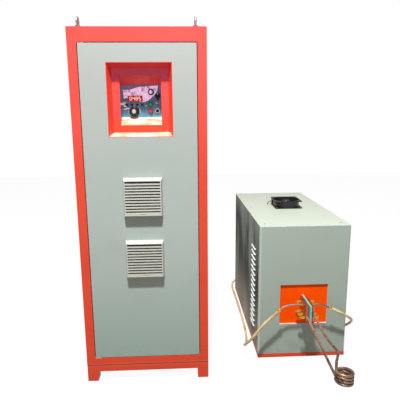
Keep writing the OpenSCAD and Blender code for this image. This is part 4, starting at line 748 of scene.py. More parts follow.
# %% Routes of the hoses and the fan's lead
left_route = [(0.082, -0.061, 0.263), (0.070, -0.062, 0.251), (0.050, -0.062, 0.232), (0.020, -0.062, 0.205),
              (-0.010, -0.062, 0.169), (-0.034, -0.060, 0.136), (-0.052, -0.048, 0.108), (-0.061, -0.024, 0.084),
              (-0.060, 0.008, 0.062), (-0.053, 0.042, 0.044), (-0.043, 0.080, 0.029), (-0.034, 0.120, 0.017),
              (-0.027, 0.165, 0.009), (-0.022, 0.215, 0.006), (-0.018, 0.290, 0.006), (-0.016, 0.400, 0.006),
              (-0.016, 0.520, 0.006), (-0.017, 0.640, 0.006), (-0.018, 0.740, 0.006), (-0.018, 0.800, 0.006),
              (-0.013, 0.848, 0.008), (0.003, 0.888, 0.012), (0.032, 0.914, 0.018), (0.066, 0.918, 0.025),
              (0.097, 0.901, 0.032), (0.115, 0.871, 0.038), (0.120, 0.845, 0.040), (0.120, 0.829, 0.040),
              (0.120, 0.806, 0.040)]
right_route = [(0.296, -0.057, 0.261), (0.308, -0.056, 0.256), (0.330, -0.055, 0.245), (0.356, -0.053, 0.231),
               (0.382, -0.046, 0.214), (0.403, -0.032, 0.195), (0.417, -0.010, 0.174), (0.423, 0.018, 0.151),
               (0.424, 0.048, 0.127), (0.423, 0.080, 0.103), (0.421, 0.112, 0.080), (0.419, 0.148, 0.057),
               (0.416, 0.188, 0.036), (0.414, 0.232, 0.019), (0.413, 0.285, 0.009), (0.412, 0.345, 0.006),
               (0.412, 0.450, 0.006), (0.413, 0.560, 0.006), (0.414, 0.670, 0.006), (0.414, 0.750, 0.006),
               (0.414, 0.800, 0.006), (0.409, 0.848, 0.008), (0.393, 0.888, 0.012), (0.364, 0.914, 0.018),
               (0.330, 0.918, 0.025), (0.299, 0.901, 0.032), (0.281, 0.871, 0.038), (0.276, 0.845, 0.040),
               (0.276, 0.829, 0.040), (0.276, 0.806, 0.040)]
fan_lead_route = [(0.1435, 0.450, 0.632), (0.139, 0.450, 0.632), (0.134, 0.452, 0.631), (0.130, 0.456, 0.628),
                  (0.128, 0.460, 0.624), (0.127, 0.464, 0.619), (0.126, 0.468, 0.614), (0.126, 0.470, 0.608),
                  (0.126, 0.470, 0.602)]
hose_d, lead_d = 12, 4


def lay_cord(name, route, diameter, finish):
    path = smooth_route([station_corner + Vector(p) for p in route])
    piece = put(name + "_cord", tube(path, diameter / 2, finish), finish, name)
    length_of(path)
    print(name, "is", round(length_of(path), 3), "m long")


lay_cord("left_hose", left_route, hose_d, hose_rubber)
lay_cord("right_hose", right_route, hose_d, hose_rubber)
lay_cord("fan_lead", fan_lead_route, lead_d, black_rubber)

# %% [markdown]
# The work coil is one piece of copper tube. It leaves the right plate, dips towards the coil, goes round nearly four
# times and comes straight back to the left plate. Its path is the same formula as in the model, and the same tube
# tree sweeps it with more sides.

# %% The work coil
head_x = 197
plate_mid = 14.5
coil_x, coil_y, coil_z, coil_r, tube_d = 201, -478.5, 237, 27.5, 10
coil_turns, coil_pitch, steps_per_turn, bend_r = 3.75, 11.5, 48, 15
upper_start = Vector((head_x + plate_mid, -108, 257))
lower_start = Vector((head_x - plate_mid, -108, 247.5))
upper_end = Vector((coil_x - coil_r, coil_y, coil_z))
upper_shares = [(0, 0.1, 0.19), (0, 0.2, 0.36), (0.01, 0.38, 0.77), (-0.03, 0.52, 0.84), (-0.13, 0.59, 0.89),
                (-0.21, 0.65, 0.93), (-0.17, 0.71, 0.955), (0.1, 0.78, 0.98), (0.4, 0.84, 0.99), (0.72, 0.92, 1)]
outward = Vector((0, -tube_d, 0))
run = upper_end - upper_start
coil_low = coil_z - coil_turns * coil_pitch
coil_path = [upper_start, upper_start + outward]
coil_path += [upper_start + Vector([run[i] * share[i] for i in range(3)]) for share in upper_shares]
for k in range(round(coil_turns * steps_per_turn) + 1):
    turn = math.radians(180 + 360 * k / steps_per_turn)
    coil_path.append(Vector((coil_x + coil_r * math.cos(turn), coil_y + coil_r * math.sin(turn),
                             coil_z - coil_pitch * k / steps_per_turn)))
for k in range(1, 7):
    turn = math.radians(90 * k / 6)
    coil_path.append(Vector((coil_x - bend_r * math.sin(turn),
                             coil_y + coil_r + bend_r - bend_r * math.cos(turn), coil_low)))
coil_path += [(coil_path[-1] + lower_start + outward) / 2, lower_start + outward, lower_start]
coil_route = [in_station(*p) for p in smooth_route(coil_path, 3)]
put("work_coil_tube", tube(coil_route, tube_d / 2, coil_copper, 20), coil_copper, "work_coil")
print("the coil's tube is", round(length_of(coil_route), 2), "m long")

# %% [markdown]
# Water enters through two bent metal stubs that are screwed into the coil's plates with hexagon nipples. The stubs
# are tubes on their own short routes, and each nipple is a six-sided turned piece with a chamfered end.

# %% Water stubs
left_stub = [(178.5, -60, 281), (160, -60, 281), (140, -60, 281), (118, -60, 279), (98, -60, 273), (82, -61, 263),
             (70, -62, 251)]
right_stub = [(215.5, -60, 281), (234, -60, 281), (248, -60, 281), (264, -59, 277), (280, -58, 269),
              (296, -57, 261), (308, -56, 256)]
stub_x = 17.5
stubs = Bench()
for route in (left_stub, right_stub):
    stubs.joined(tube([in_station(*p) for p in smooth_route(route, 4)], 3.95, stub_metal, 20))
put("water_stubs", stubs, stub_metal, "coil_stubs")
nipple = [(0, 0), (6.2, 0), (6.5, 0.6), (6.5, 6.4), (5.6, 7.2), (5.2, 7.2), (5.2, 11.4), (4.6, 12), (0, 12)]
nipples = Bench()
for way in (-1, 1):
    nipples.turned(nipple, in_station(head_x + way * stub_x, -60, 281), way * right, 6)
put("stub_nipples", nipples, brass)
print("stubs and nipples are on")

# %% [markdown]
# The coil's plates are clamped with long brass nuts on studs. A thread is a row of rings at one pitch, which is what
# Geometry Nodes do best: a tree puts copies of one item at points that carry a direction. The same tree later
# places screw heads, so its points come as a small mesh with a "facing" attribute.

# %% A tree that puts copies at points
def end_with_copies(graph, points, turn):
    item = graph.node("GeometryNodeObjectInfo", values={"Object": given(graph, "Item")}, out="Geometry")
    end_tree(graph, graph.node("GeometryNodeInstanceOnPoints",
                               values={"Points": points, "Instance": item, "Rotation": turn}))


points_graph = new_tree("copies_at_points", "Item")
facing = points_graph.node("GeometryNodeInputNamedAttribute", {"data_type": "FLOAT_VECTOR"}, {"Name": "facing"})
turned_to = points_graph.node("FunctionNodeAlignRotationToVector", {"axis": "Z"}, {"Vector": facing})
end_with_copies(points_graph, given(points_graph, "Geometry"), turned_to)


def copies_at(places, item, finish):
    cloud = bpy.data.meshes.new("places")
    cloud.from_pydata([place for place, way in places], [], [])
    attribute = cloud.attributes.new("facing", "FLOAT_VECTOR", "POINT")
    attribute.data.foreach_set("vector", [v for place, way in places for v in way])
    return grown(cloud, points_graph, finish, {}, item)


print("point tree nodes:", len(points_graph.tree.nodes))

# %% [markdown]
# A long nut is a six-sided turned piece with chamfered ends, open in the middle, so the stud shows in it. Each stud
# ends in three rings of thread.

# %% Studs and long nuts
stud_places = [(-28, 281), (-28, 239), (-60, 239), (-92, 239)]
nut_length, thread_pitch = 20, 1.25
nut_profile = [(4.2, 0), (7.0, 0), (7.5, 0.5), (7.5, 19.3), (6.7, 20), (4.6, 20), (4.2, 19.4)]
stud_profile = [(0, -5.9), (3.85, -5.9), (3.85, 29.4), (3.3, 30), (0, 30)]
thread_item = Bench().turned([(3.8, -0.45), (4.1, 0), (3.8, 0.45)], Vector(), up, 20).done("thread")
nuts, studs, threads = Bench(), Bench(), []
for way in (-1, 1):
    for y, z in stud_places:
        foot = in_station(head_x + way * stub_x, y, z)
        nuts.turned(nut_profile, foot, way * right, 6)
        studs.turned(stud_profile, foot - way * right * 6 * mm, way * right, 20)
        for k in range(3):
            out = nut_length + 0.4 + k * thread_pitch
            threads.append((foot + way * right * out * mm, way * right))
put("long_nuts", nuts, brass, "clamp_studs")
put("studs", studs, brass)
put("stud_threads", copies_at(threads, thread_item, brass), brass)
print("thread rings:", len(threads))

# %% [markdown]
# The plates, the insulating plate and the orange board keep their CAD shapes with rounded edges. Sawn copper has
# a slightly larger chamfer than laminate.

# %% Output head
rounded("output_plates", plate_copper, 0.8)
rounded("coil_plates", plate_copper, 0.6)
rounded("insulation_plate", teal_laminate, 0.5)
rounded("terminal_board", orange_laminate, 0.4)
print("output head is dressed")

# %% [markdown]
# A hose clamp is a thin band pulled tight by pinching its ear. The band is a turned ring, the ear two small folded
# blocks, and both sit square to the hose at the clamp's place.

# %% Hose clamps
clamp_w, band_r, band_t = 9, 6.1, 1
clamp_places = [((76, -61.5, 257), (-12, -1, -12)), ((302, -56.5, 258.5), (12, 1, -5)),
                ((120, 812, 40), (0, 1, 0)), ((276, 812, 40), (0, 1, 0))]
half, outer_r = clamp_w / 2, band_r + band_t
band_profile = [(band_r, -half), (outer_r, 0.3 - half), (outer_r, half - 0.3), (band_r, half)]
clamps = Bench()
for place, way in clamp_places:
    clamps.turned(band_profile, in_station(*place), way)
    square_to = Vector(way).normalized().to_track_quat("Z", "X").to_matrix().to_4x4()
    turn = Matrix.Translation(in_station(*place)) @ square_to
    for offset in (-1.9, 0.7):
        clamps.block(Vector((band_r, offset, 0.5 - half)) * mm, (6.2, 1.2, clamp_w - 1), turn)
    clamps.turned([(0, -3.4), (1.6, -3.4), (1.6, 3.4), (0, 3.4)], turn @ (Vector((band_r + 4, 0, 0)) * mm),
                  turn.to_3x3() @ Vector((0, 1, 0)), 12)
put("clamp_bands", clamps, brass, "hose_clamps")
print("clamps:", len(clamp_places))

# %% [markdown]
# Sheet metal is thin, and a thin wall is easiest as a flat or curved sheet that a Solidify modifier thickens to both
# sides. A sheet is a grid of cells between rows of points, and cells that are left out are openings.

# %% Thin walls
def walled(points, faces, wall_mm):
    data = bpy.data.meshes.new("wall")
    data.from_pydata([Vector(p) * mm for p in points], [], faces)
    sheet = linked(data)
    solid = sheet.modifiers.new("wall", "SOLIDIFY")
    solid.thickness = wall_mm * mm
    solid.offset = 0
    return settled(sheet)


def cells(rows, columns, open_cells=()):
    return [(i * columns + j, (i + 1) * columns + j, (i + 1) * columns + j + 1, i * columns + j + 1)
            for i in range(rows - 1) for j in range(columns - 1) if (i, j) not in open_cells]


def patch(rows, wall_mm):
    return walled([p for row in rows for p in row], cells(len(rows), len(rows[0])), wall_mm)


print("walls are ready")

# %% [markdown]
# A louvre is a hood pressed out of the sheet over a slot, open downwards, with rounded ends. The side sheet is a
# grid of flat cells that leaves the slots out. The hoods are one curved sheet that the point tree repeats on both
# sides, and their painted highlights read as a column of bright dashes.

# %% Louvred sides
louvre_from, louvre_to = 100, 188
louvre_w, louvre_mid = louvre_to - louvre_from, (louvre_from + louvre_to) / 2
slot_levels = [louvre_low + k * louvre_pitch for k in range(louvres)]
cuts_y = [25, louvre_from + 1.2, louvre_to - 1.2, 798]
cuts_z = [19] + [z for low in slot_levels for z in (low, low + 10.6)] + [610]
slots = [(1, j) for j in range(1, 2 * louvres, 2)]
sides = Bench()
for x in (1, station_w - 1):
    points = [station_corner / mm + Vector((x, y, z)) for y in cuts_y for z in cuts_z]
    sides.joined(walled(points, cells(len(cuts_y), len(cuts_z), slots), 2))
put("louvred_sides", sides, side_coat, "station_side_panels")


def hood(way):
    rows = []
    for i in range(17):
        across = -1 + 2 * i / 16
        bulge = math.sqrt(max(0, 1 - max(0, abs(across) - 0.86) ** 2 / 0.14 ** 2))
        lifts = [math.sin(math.pi / 2 * j / 6) for j in range(7)]
        rows.append([(way * (louvre_high - 0.6) * (1 - lift) - way * 0.3, across * (louvre_w / 2 - 0.6),
                      0.6 + (louvre_out - 1.3) * bulge * lift) for lift in lifts])
    return patch(rows, 1.1)


hoods = Bench()
for x, way, facing_to in ((0, 1, left), (station_w, -1, right)):
    places = [(in_station(x, louvre_mid, low + 0.6), facing_to) for low in slot_levels]
    hoods.joined(copies_at(places, hood(way), louvre_light_and_shade_coat))
put("louvre_hoods", hoods, louvre_light_and_shade_coat)
print("louvres:", 2 * louvres)

# %% [markdown]
# The rest of the station is bent sheet: a front with soft corners, a rear, a lid that overhangs a little with a thin
# black strip in its seam that stands for the shade in the gap, and a red tray for a base. Their CAD shapes are right,
# so they get rounded edges and a coat.

# %% Station body
for node, coat, radius in (("station_front_panel", front_coat, 0.5), ("station_rear_panel", station_coat, 0.5),
                           ("station_lid", lid_coat_painted_light, 0.6)):
    rounded(node, coat, radius)
rounded("station_base", red_coat, 1.2)
seam_y = (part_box("station_lid")[0].y - station_corner.y) / mm
# A thin black strip in the lid's seam stands for the shade in the gap.
put("lid_seam_gasket", Bench().block(in_station(3, seam_y - 1, 606), (390, 0.9, 4.5)), black_rubber)
print("station body is dressed")

# %% [markdown]
# The cabinet is a red frame of square tube on a plinth, with grey-green sheets let in. Tube has the largest edge
# radius, thin sheet the smallest.

# %% Cabinet body
for node, radius in (("frame_posts", 1.2), ("frame_rails", 1.0), ("base_plinth", 1.4), ("roof_panel", 0.6)):
    rounded(node, red_coat, radius)
for node, radius in (("side_panels", 0.5), ("rear_panel", 0.4)):
    rounded(node, cabinet_coat, radius)
for node, radius in (("cabinet_floor", 0.4), ("mounting_plate", 0.5), ("pivot_pins", 0.4)):
    rounded(node, zinc, radius)
print("cabinet body is dressed")

# %% [markdown]
# The door carries the recess with its panel, the seal and the vents, so all of these ride on the door's body. Each
# grille can be pulled off and rides on its own body.

# %% Door and recess
rounded("front_door", cabinet_coat, 0.6, body="door")
rounded("door_seal", black_rubber, 0.6, body="door", hollow=True)
rounded("recess_surround", recess_coat, 0.5, body="door", hollow=True)
rounded("control_box", recess_coat, 0.5, body="door")
rounded("control_panel", panel_coat, 0.4, body="door")
rounded("panel_label", label_film, 0.2, body="door")
rounded("vent_bases", vent_moulding, 0.6, body="door")
for node in ("upper_vent_grille", "lower_vent_grille"):
    rounded(node, grille_plastic, 0.35, body=node)
print("door is dressed")

# %% [markdown]
# Behind each grille lies a fibre mat that keeps dust out of the cabinet. It shows in the gaps between the slats, and
# its dark brown is painted shade that keeps them dark.

# %% Filter mats
mat_side = 115
mats = Bench()
for level_z in vent_levels:
    mats.block(in_cabinet(vent_x - mat_side / 2, -2.5, level_z - mat_side / 2), (mat_side, 8, mat_side))
put("filter_mats", mats, filter_wool_painted_shade, body="door")
print("mats:", len(vent_levels))

# %% [markdown]
# Ribs round a knob, marks round a dial and blades round a hub are the same problem: one item repeated at even angles.
# This tree makes a ring of points and turns each copy to face outwards.

# %% A tree that repeats an item round a ring
ring_graph = new_tree("copies_round_a_ring", "Item", "Count", "Radius")
ring_points = ring_graph.node("GeometryNodeMeshCircle", values={"Vertices": given(ring_graph, "Count"),
                                                                "Radius": given(ring_graph, "Radius")})
spot = ring_graph.node("GeometryNodeInputPosition")
ring_turn = ring_graph.node("FunctionNodeAlignRotationToVector", {"axis": "X", "pivot_axis": "Z"},
                            {"Vector": spot})
end_with_copies(ring_graph, ring_points, ring_turn)


def round_ring(item, count, radius_mm, finish, at, along):
    made = grown(bpy.data.meshes.new("ring"), ring_graph, finish, {"Count": count, "Radius": radius_mm * mm}, item)
    made.transform(Matrix.Translation(at) @ aim(along))
    return made


print("ring tree nodes:", len(ring_graph.tree.nodes))

# %% [markdown]
# The controls sit deep in the recess on a blue-grey panel. The power knob has a wide skirt, a ribbed grip and a
# bright cap, over a ring of dial marks. Its parts ride on the knob's own body, so all of them turn together.

# %% Power knob
panel_y, recess_x, recess_z = 105, 253, 1136


def on_panel(x, z, out=0):
    return in_cabinet(recess_x + x, panel_y - out, recess_z + z)


knob_x, knob_z = -31.6, -39
knob_foot = on_panel(knob_x, knob_z, 2.3)
knob_profile = [(0, 0), (20, 0), (20, 1.6), (19.3, 2.6), (16.4, 4), (14.9, 4.6), (14.3, 18.4), (13.2, 20),
                (8.6, 20), (8.3, 19.4), (0, 19.4)]
cap_profile = [(0, 19), (8, 19), (8, 20.2), (7.4, 20.8), (5.6, 20.6), (5.4, 20.9), (0, 21)]
put("power_knob_grip", Bench().turned(knob_profile, knob_foot, front, 48), black_plastic, "power_knob",
    body="power_knob")
put("power_knob_cap", Bench().turned(cap_profile, knob_foot, front, 40), chrome, body="power_knob")
rib_item = Bench().block(Vector((-0.6, -0.45, 4.8)) * mm, (1.1, 0.9, 13.8)).done("rib")
put("power_knob_ribs", round_ring(rib_item, 36, 14.6, black_plastic, knob_foot, front), black_plastic,
    body="power_knob")
put("power_knob_pointer", Bench().block(knob_foot + Vector((-0.5, -4.6, 14.4)) * mm, (1, 1.2, 5)), white_plastic_painted_glow,
    body="power_knob")
mark_item = Bench().block(Vector((0, -0.5, 0)) * mm, (3, 1, 0.25)).done("mark")
put("dial_marks", round_ring(mark_item, 28, 21.4, white_plastic_painted_glow, on_panel(knob_x, knob_z), front), white_plastic_painted_glow,
    body="door")
print("power knob at", [round(v, 3) for v in knob_foot])

# %% [markdown]
# The buttons have domed lenses, and each rides on its own body, which is pressed in. The selectors and the timer knob
# keep their CAD shapes. What turns with them, a white line and a cap, rides on the same body.

# %% Buttons and selectors
button_profile = [(0, -4.6), (6.2, -4.6), (6.3, 3.6), (5.9, 4.6), (4.2, 5.0), (0, 5.2)]
for node, z, lens in (("start_button", -11.5, green_lens), ("stop_button", -38.5, red_lens)):
    put(node + "_cap", Bench().turned(button_profile, on_panel(32.5, z, 3.9), front), lens, node, body=node)
rounded("switch_bodies", black_plastic, 0.4, body="door")
rounded("mode_selector", black_plastic, 0.4, body="mode_selector")
rounded("handle_selector", black_plastic, 0.8, body="handle_selector")
rounded("timer_knob", black_plastic, 0.6, body="timer_knob")
ring_profile = [(6.3, 0), (9.3, 0), (9.3, 1.4), (8.6, 2), (6.8, 2), (6.3, 1.4)]
put("mode_ring", Bench().turned(ring_profile, on_panel(58.5, -37.5, 2.5), front, 40), chrome, body="door")
put("handle_line", Bench().block(on_panel(59.9, 23, 17.6), (1.2, 0.6, 10)), white_plastic_painted_glow, body="handle_selector")
timer_profile = [(0, 0), (7, 0), (7, 0.8), (6.2, 1.4), (0, 1.5)]
put("timer_cap", Bench().turned(timer_profile, on_panel(35, 34.5, 12.2), front), label_film, body="timer_knob")
print("controls on the panel:", 6)

# %% [markdown]
# The number display glows through a dark red window. Its figures are the usual seven bars each, set as small blocks,
# and they show a plain number. Small lamps have a domed lens in a thin bright bezel.

# %% Display and lamps
bars_of = {"0": "abcdef", "4": "fgbc", "5": "afgcd", "8": "abcdefg"}
places_of = {"a": (0, 1, 0), "b": (1, 0.5, 1), "c": (1, 0, 1), "d": (0, 0, 0), "e": (0, 0, 1), "f": (0, 0.5, 1),
             "g": (0, 0.5, 0)}
figure_w, figure_h, figure_step, bar = 7, 12, 11.5, 1.5
first_x, middle_z, display_out = -48.5, 10, 2.3
figures = Bench()
for index, figure in enumerate("0485"):
    for name in bars_of[figure]:
        across, height, upright = places_of[name]
        size = (bar, 0.3, (figure_h - bar) / 2) if upright else (figure_w - bar, 0.3, bar)
        x = first_x + index * figure_step + across * figure_w + (0 if upright else bar / 2)
        z = middle_z + (height - 0.5) * figure_h + (bar / 4 if upright else -bar / 2)
        figures.block(on_panel(x, z, display_out), size)
put("display_figures", figures, digit_light, body="door")
rounded("led_display", display_glass, 0.5, body="door")
lens_profile = [(0, -6), (3.9, -6), (3.9, 1.2), (3.2, 2.4), (1.8, 3.1), (0, 3.3)]
bezel_profile = [(4.1, 0), (5.3, 0), (5.3, 0.9), (4.7, 1.4), (4.1, 1.4)]
lamp_profile = [(0, -6), (2.4, -6), (2.4, 1.5), (1.6, 2.4), (0, 2.6)]
lamp_places = [on_panel(-61 + 20.2 * k, -13.8) for k in range(4)]
lamps, bezels = Bench(), Bench()
for place in lamp_places:
    lamps.turned(lens_profile, place, front, 24)
    bezels.turned(bezel_profile, place, front, 28)
put("lamp_lenses", lamps, lens_plastic, "indicator_lamps", body="door")
put("lamp_bezels", bezels, black_plastic, body="door")
put("power_lamp", Bench().turned(lamp_profile, on_panel(-50.5, 53), front, 20), lamp_red, body="door")
print("lamps:", len(lamp_places) + 1)

# %% [markdown]
# An axial fan has a square frame and a hub with curved blades. One blade is a thin lofted sheet: at each radius its
# chord turns flatter, as on a real impeller. The ring tree repeats it round the hub.


# %% Fan impellers
root_pitch, pitch_drop = 48, 22
root_chord, chord_growth, drawn_reach = 17, 9, 53.6
skew, flatness, camber, blade_wall = 5, 0.62, 2.2, 1.3


def blade(inner, outer, count_r=9, count_c=7):
    rows = []
    for i in range(count_r):
        share = i / (count_r - 1)
        radius = inner + (outer - inner) * share
        pitch = math.radians(root_pitch - pitch_drop * share)
        chord = (root_chord + chord_growth * share) * outer / drawn_reach
        row = []
        for j in range(count_c):
            t = j / (count_c - 1) - 0.5
            sweep = (t * chord * math.cos(pitch) + skew * share * share) / radius
            rise = t * chord * math.sin(pitch) * flatness * drawn_reach / outer + camber * (0.25 - t * t)
            row.append((radius * math.cos(sweep), radius * math.sin(sweep), rise))
        rows.append(row)
    return patch(rows, blade_wall)


hub_profile = [(4.1, -8.9), (20.5, -8.9), (22, -7.6), (22, 6.6), (20.6, 8.6), (17, 9), (16.4, 8.5), (6, 8.5),
               (5.4, 8.9), (0, 8.9)]
blades, blade_inner, tip_inset, hub_mid = 7, 20, 6.4, 23.3
top_fan, door_fan = 135, 120
top_fan_at = in_station(211, 412, station_h)
door_fans_at = [in_cabinet(vent_x, 12, level_z) for level_z in vent_levels]


def impeller(name, size, centre, along):
    middle = centre + along * hub_mid * mm
    ring = round_ring(blade(blade_inner, size / 2 - tip_inset), blades, 0, blade_plastic_painted_sheen, middle, along)
    put(name + "_blades", ring, blade_plastic_painted_sheen, body=name)
    put(name + "_hub", Bench().turned(hub_profile, middle, along, 48), fan_plastic, name, body=name)


impeller("top_fan_impeller", top_fan, top_fan_at, up)
impeller("upper_fan_impeller", door_fan, door_fans_at[0], back)
impeller("lower_fan_impeller", door_fan, door_fans_at[1], back)
print("blades in all:", 3 * blades)

# %% [markdown]
# A fan's frame is two square flanges with rounded corners and screw holes, a barrel between them, four struts that
# hold the motor, and a terminal block. The flanges are flat curves with holes, extruded and slightly bevelled.


# %% Fan frames
bore_in, hole_in, screw_hole_r = 4, 7.5, 2.2


def loop_of(points, curve):
    spline = curve.splines.new("POLY")
    spline.points.add(len(points) - 1)
    spline.use_cyclic_u = True
    for point, (x, y) in zip(spline.points, points):
        point.co = (x * mm, y * mm, 0, 1)


def arc(x, y, radius, start=0.0, turn=360.0, steps=16):
    return [(x + radius * math.cos(math.radians(start + turn * k / steps)),
             y + radius * math.sin(math.radians(start + turn * k / steps))) for k in range(steps)]


def flange(size, thickness=4, corner=7, edge=0.35):
    curve = bpy.data.curves.new("flange", "CURVE")
    curve.dimensions = "2D"
    curve.fill_mode = "BOTH"
    curve.extrude = (thickness / 2 - edge) * mm
    curve.bevel_depth = edge * mm
    curve.offset = -edge * mm
    far = size / 2 - corner
    loop_of([p for k, (x, y) in enumerate(((far, far), (-far, far), (-far, -far), (far, -far)))
             for p in arc(x, y, corner, 90 * k, 90, 8)], curve)
    loop_of(arc(0, 0, size / 2 - bore_in, steps=72), curve)
    for x, y in ((1, 1), (-1, 1), (-1, -1), (1, -1)):
        loop_of(arc(x * (size / 2 - hole_in), y * (size / 2 - hole_in), screw_hole_r), curve)
    return settled(linked(curve))


def fan_frame(bench, size, place):
    bore = size / 2 - bore_in
    for z in (2, 36):
        bench.joined(flange(size), place @ Matrix.Translation(up * z * mm))
    shell = Bench().turned([(bore, 0), (bore + 3.6, 0), (bore + 3.6, 3), (bore + 2.6, 7), (bore + 2.6, 31),
                            (bore + 3.6, 35), (bore + 3.6, 38), (bore + 0.8, 38), (bore, 36.5)], Vector(), up, 72)
    shell.turned([(0, 0), (20, 0), (20, 13), (19, 14), (4, 14), (4, 30), (0, 30)], Vector(), up, 40)
    for angle in (45, 135, 225, 315):
        shell.block(Vector((18, -3.5, 0)) * mm, (bore - 17, 7, 4), Matrix.Rotation(math.radians(angle), 4, "Z"))
    shell.block(Vector((-size / 2, 29, 0.2)) * mm, (9, 18, 37.6))
    bench.joined(shell.done("shell"), place)


top_frame, door_frames, sleeves = Bench(), Bench(), Bench()
fan_frame(top_frame, top_fan, Matrix.Translation(top_fan_at))
put("top_fan_housing", top_frame, fan_plastic, "top_fan_frame")
for place in door_fans_at:
    fan_frame(door_frames, door_fan, Matrix.Translation(place) @ Matrix.Rotation(math.radians(-90), 4, "X"))
put("door_fan_housings", door_frames, fan_plastic, "vent_fan_frames", body="door")
sleeve_profile = [(0, -5), (2.6, -5), (3, -4), (3, 5), (2.4, 6), (0, 6)]
for y in (-46, -38):
    sleeves.turned(sleeve_profile, top_fan_at + Vector((-60, y, 20)) * mm, left, 16)
put("terminal_sleeves", sleeves, sleeve_plastic)
print("fan frames: 3")

# %% [markdown]
# Eye bolts stand at the roof's corners for lifting. Each is a forged ring on a turned collar.

# %% Lifting eyes
eyes = Bench()
for x in (40, cabinet_w - 40):
    for y in (17, cabinet_d - 17):
        foot = in_cabinet(x, y, cabinet_h)
        eyes.ring(14, 3.9, foot + up * 18 * mm, right, 48)
        eyes.turned([(0, 0), (9.6, 0), (10, 0.5), (10, 3.6), (8.6, 5.4), (5.2, 6.4), (0, 6.6)], foot, up, 36)
put("eye_bolts", eyes, zinc, "lifting_eyes")
print("eye bolts: 4")

# %% [markdown]
# Screws hold the side and rear sheets, the lid and the fan. One head with a round socket is repeated at all places
# by the point tree, each facing out of its sheet.

# %% Screw heads
screw_profile = [(0, 0.5), (1.5, 0.5), (1.5, 1.4), (2.6, 1.4), (3.7, 0.9), (4, 0.3), (4, 0)]
screw_item = Bench().turned(screw_profile, Vector(), up, 20).done("screw")
edge, rows, low_z, high_z, sunk = 28, 4, 137, 1306, 1.5
screw_places = []
for k in range(rows):
    z = low_z + k * (high_z - low_z) / (rows - 1)
    for y in (edge, cabinet_d - edge):
        screw_places += [(in_cabinet(sunk, y, z), left), (in_cabinet(cabinet_w - sunk, y, z), right)]
    screw_places += [(in_cabinet(x, cabinet_d - sunk, z), back) for x in (edge, cabinet_w - edge)]
screw_places += [(in_station(x, y, station_h), up) for x in (edge, station_w - edge) for y in (48, 400, 772)]
screw_places += [(top_fan_at + Vector((x, y, 4)) * mm, up) for x in (-60, 60) for y in (-60, 60)]
put("screw_heads", copies_at(screw_places, screw_item, zinc), zinc, "panel_screws")
print("screws:", len(screw_places))

# %% [markdown]
# Water spigots and cable glands sit at the back of both units. They are turned brass: barbs that hold a hose, and a
# dome nut with flats that squeezes a cable.

# %% Rear fittings
spigot = [(0, -12), (10, -12), (10, 0), (14, 0), (14, 4.4), (13.4, 5), (7.2, 5), (7.2, 9), (8, 9.6), (6.9, 15),
          (8, 15.6), (6.9, 21), (8, 21.6), (6.9, 27), (7.6, 28.4), (7.2, 35), (0, 35)]
gland_body = [(8, -12), (10, -12), (10, 0), (15, 0), (15, 6), (14, 6.6), (14, 8), (9, 8)]
gland_nut = [(9, 7), (17.4, 7), (18, 8), (18, 17), (15.6, 20.4), (13, 24.8), (11.4, 26), (9.4, 26), (9, 25)]
barb = [(0, -12), (3.95, -12), (3.95, 0), (6.5, 0), (6.5, 5), (4, 5), (4, 33), (0, 33)]
cabinet_rear = cabinet_d - sunk
fitting_places = [(spigot, in_cabinet(x, cabinet_rear, 240)) for x in (100, 170)]
for x in (120, 276):
    fitting_places += [(spigot, in_station(x, station_d, 130)), (barb, in_station(x, station_d, 40))]
gland_places = [in_cabinet(x, cabinet_rear, 240) for x in (260, 320, 380)] + [in_station(198, station_d, 230)]
fittings = Bench()
for profile, place in fitting_places:
    fittings.turned(profile, place, back)
for place in gland_places:
    fittings.turned(gland_body, place, back).turned(gland_nut, place, back, 12)
put("brass_fittings", fittings, brass, "rear_fittings")
print("glands:", len(gland_places))

# %% [markdown]
# The door opens, so what is behind it is seen as well. The equipment keeps its CAD shape with rounded edges, and the
# capacitors and windings get turned and ribbed pieces of their own.

# %% Equipment inside
rounded("circuit_breaker", black_plastic, 1.5)
rounded("breaker_lever", white_plastic_painted_glow, 0.3, body="breaker_lever")
rounded("contactor", black_plastic, 1.2)
rounded("cooling_plate", aluminium, 0.8)
rounded("power_modules", black_plastic, 1.0)
rounded("inverter_board", board_green, 0.3)
rounded("transformer", core_steel, 1.0)
rounded("tank_capacitors", beige_resin, 2.0)
can = [(0, 0.8), (30, 0.8), (32, 0), (34, 0), (35, 1), (36, 4), (36.6, 6), (36, 8), (38, 11), (38, 143), (36, 145),
       (0, 145)]
post = [(0, -8), (5, -8), (5.5, -7), (7, -6.4), (7, 1), (0, 1)]
cans, posts = Bench(), Bench()
for x in (115, 225, 335):
    foot = in_cabinet(x, 418.5, 500)
    cans.turned(can, foot, back, 48)
    for way in (-19, 19):
        posts.turned(post, foot + right * way * mm, back, 16)
put("capacitor_cans", cans, blue_coat, "smoothing_capacitors")
put("capacitor_posts", posts, brass)
print("equipment inside is dressed")

# %% [markdown]
# The station's transformer has a winding of flat copper turns. One rounded block is a turn, and the point tree stacks
# it at an even step up the core.

# %% Transformer winding
winding_places = [(in_station(head_x, 203, z), up) for z in range(186, 333, 6)]
turn_block = linked(Bench().block(Vector((-91, -72, -2.6)) * mm, (182, 144, 5.2)).done("turn"))
turn_edges = turn_block.modifiers.new("edges", "BEVEL")
turn_edges.width = 2.4 * mm
turn_edges.segments = 3
put("transformer_winding", copies_at(winding_places, settled(turn_block), winding_copper), winding_copper)
print("winding turns:", len(winding_places))

# %% [markdown]
# The stage is a floor and a white world. The photograph's ground is white, so what the camera and clear reflections
# see of floor and world is white. Light that leaves the real floor is brown, and it warms what stands near it, so
# for all other rays the floor is brown. One small lamp hangs steeply above and in front, as the workshop's does: it
# gives the hard shadows under the vents and in the recess.

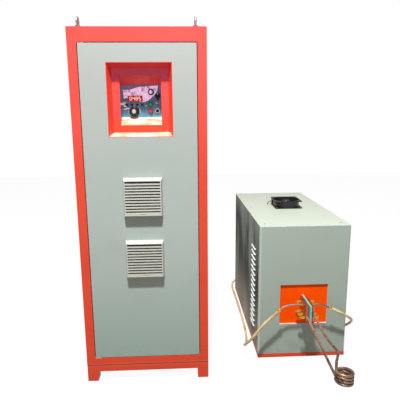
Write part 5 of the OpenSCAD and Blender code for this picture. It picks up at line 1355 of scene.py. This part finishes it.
# %% Floor, world and lamp
floor_size = 12
floor_corner = Vector((-floor_size / 2, -floor_size / 2, -20 * mm))
floor = linked(Bench().block(floor_corner, (floor_size / mm, floor_size / mm, 20)).done("floor"))
floor.name = "floor"
floor_material = bpy.data.materials.new("pale_floor")
floor_material.use_nodes = True
floor_graph = Graph(floor_material.node_tree)
seen = None
for ray in ("Is Camera Ray", "Is Glossy Ray", "Is Transmission Ray"):
    is_ray = floor_graph.node("ShaderNodeLightPath", out=ray)
    seen = is_ray if seen is None else floor_graph.node("ShaderNodeMath", {"operation": "MAXIMUM"},
                                                        {0: seen, 1: is_ray})
plain_white = floor_graph.node("ShaderNodeEmission", values={"Color": (1, 1, 1, 1), "Strength": 1.06})
pale = floor_graph.node("ShaderNodeBsdfDiffuse", values={"Color": tone(250, 250, 250)})
clean_floor = floor_graph.node("ShaderNodeMixShader", values={0: 0.88, 1: pale, 2: plain_white})
brown_floor = floor_graph.node("ShaderNodeBsdfDiffuse", values={"Color": tone(124, 112, 98)})
mixed_floor = floor_graph.node("ShaderNodeMixShader", values={0: seen, 1: brown_floor, 2: clean_floor})
floor_output = next(n for n in floor_graph.tree.nodes if n.type == "OUTPUT_MATERIAL")
floor_graph.tree.links.new(mixed_floor.socket, floor_output.inputs[0])
floor.data.materials.append(floor_material)

world = bpy.data.worlds.new("white_room")
world.use_nodes = True
bpy.context.scene.world = world
room = Graph(world.node_tree)
sky_level = 0.31
strength = room.node("ShaderNodeLightPath", out="Is Camera Ray") * (1 - sky_level) + sky_level
background = next(n for n in room.tree.nodes if n.type == "BACKGROUND")
background.inputs["Color"].default_value = (1, 1, 1, 1)
room.tree.links.new(strength.socket, background.inputs["Strength"])


lamp_at, lamp_target = Vector((-0.3, -1.69, 3.6)), Vector((0, -0.2, 0.5))
light = bpy.data.lights.new("workshop_lamp", "AREA")
light.size = 0.2
light.energy = 170
lamp = linked(light)
lamp.name = "workshop_lamp"
towards = (lamp_target - lamp_at).to_track_quat("-Z", "Y").to_matrix().to_4x4()
lamp.matrix_world = Matrix.Translation(lamp_at) @ towards
bpy.context.scene.view_settings.view_transform = "Standard"
print("stage is set")

# %% [markdown]
# Last comes the count of pieces made.

# %% Pieces made
print("pieces made:", len(made_pieces))
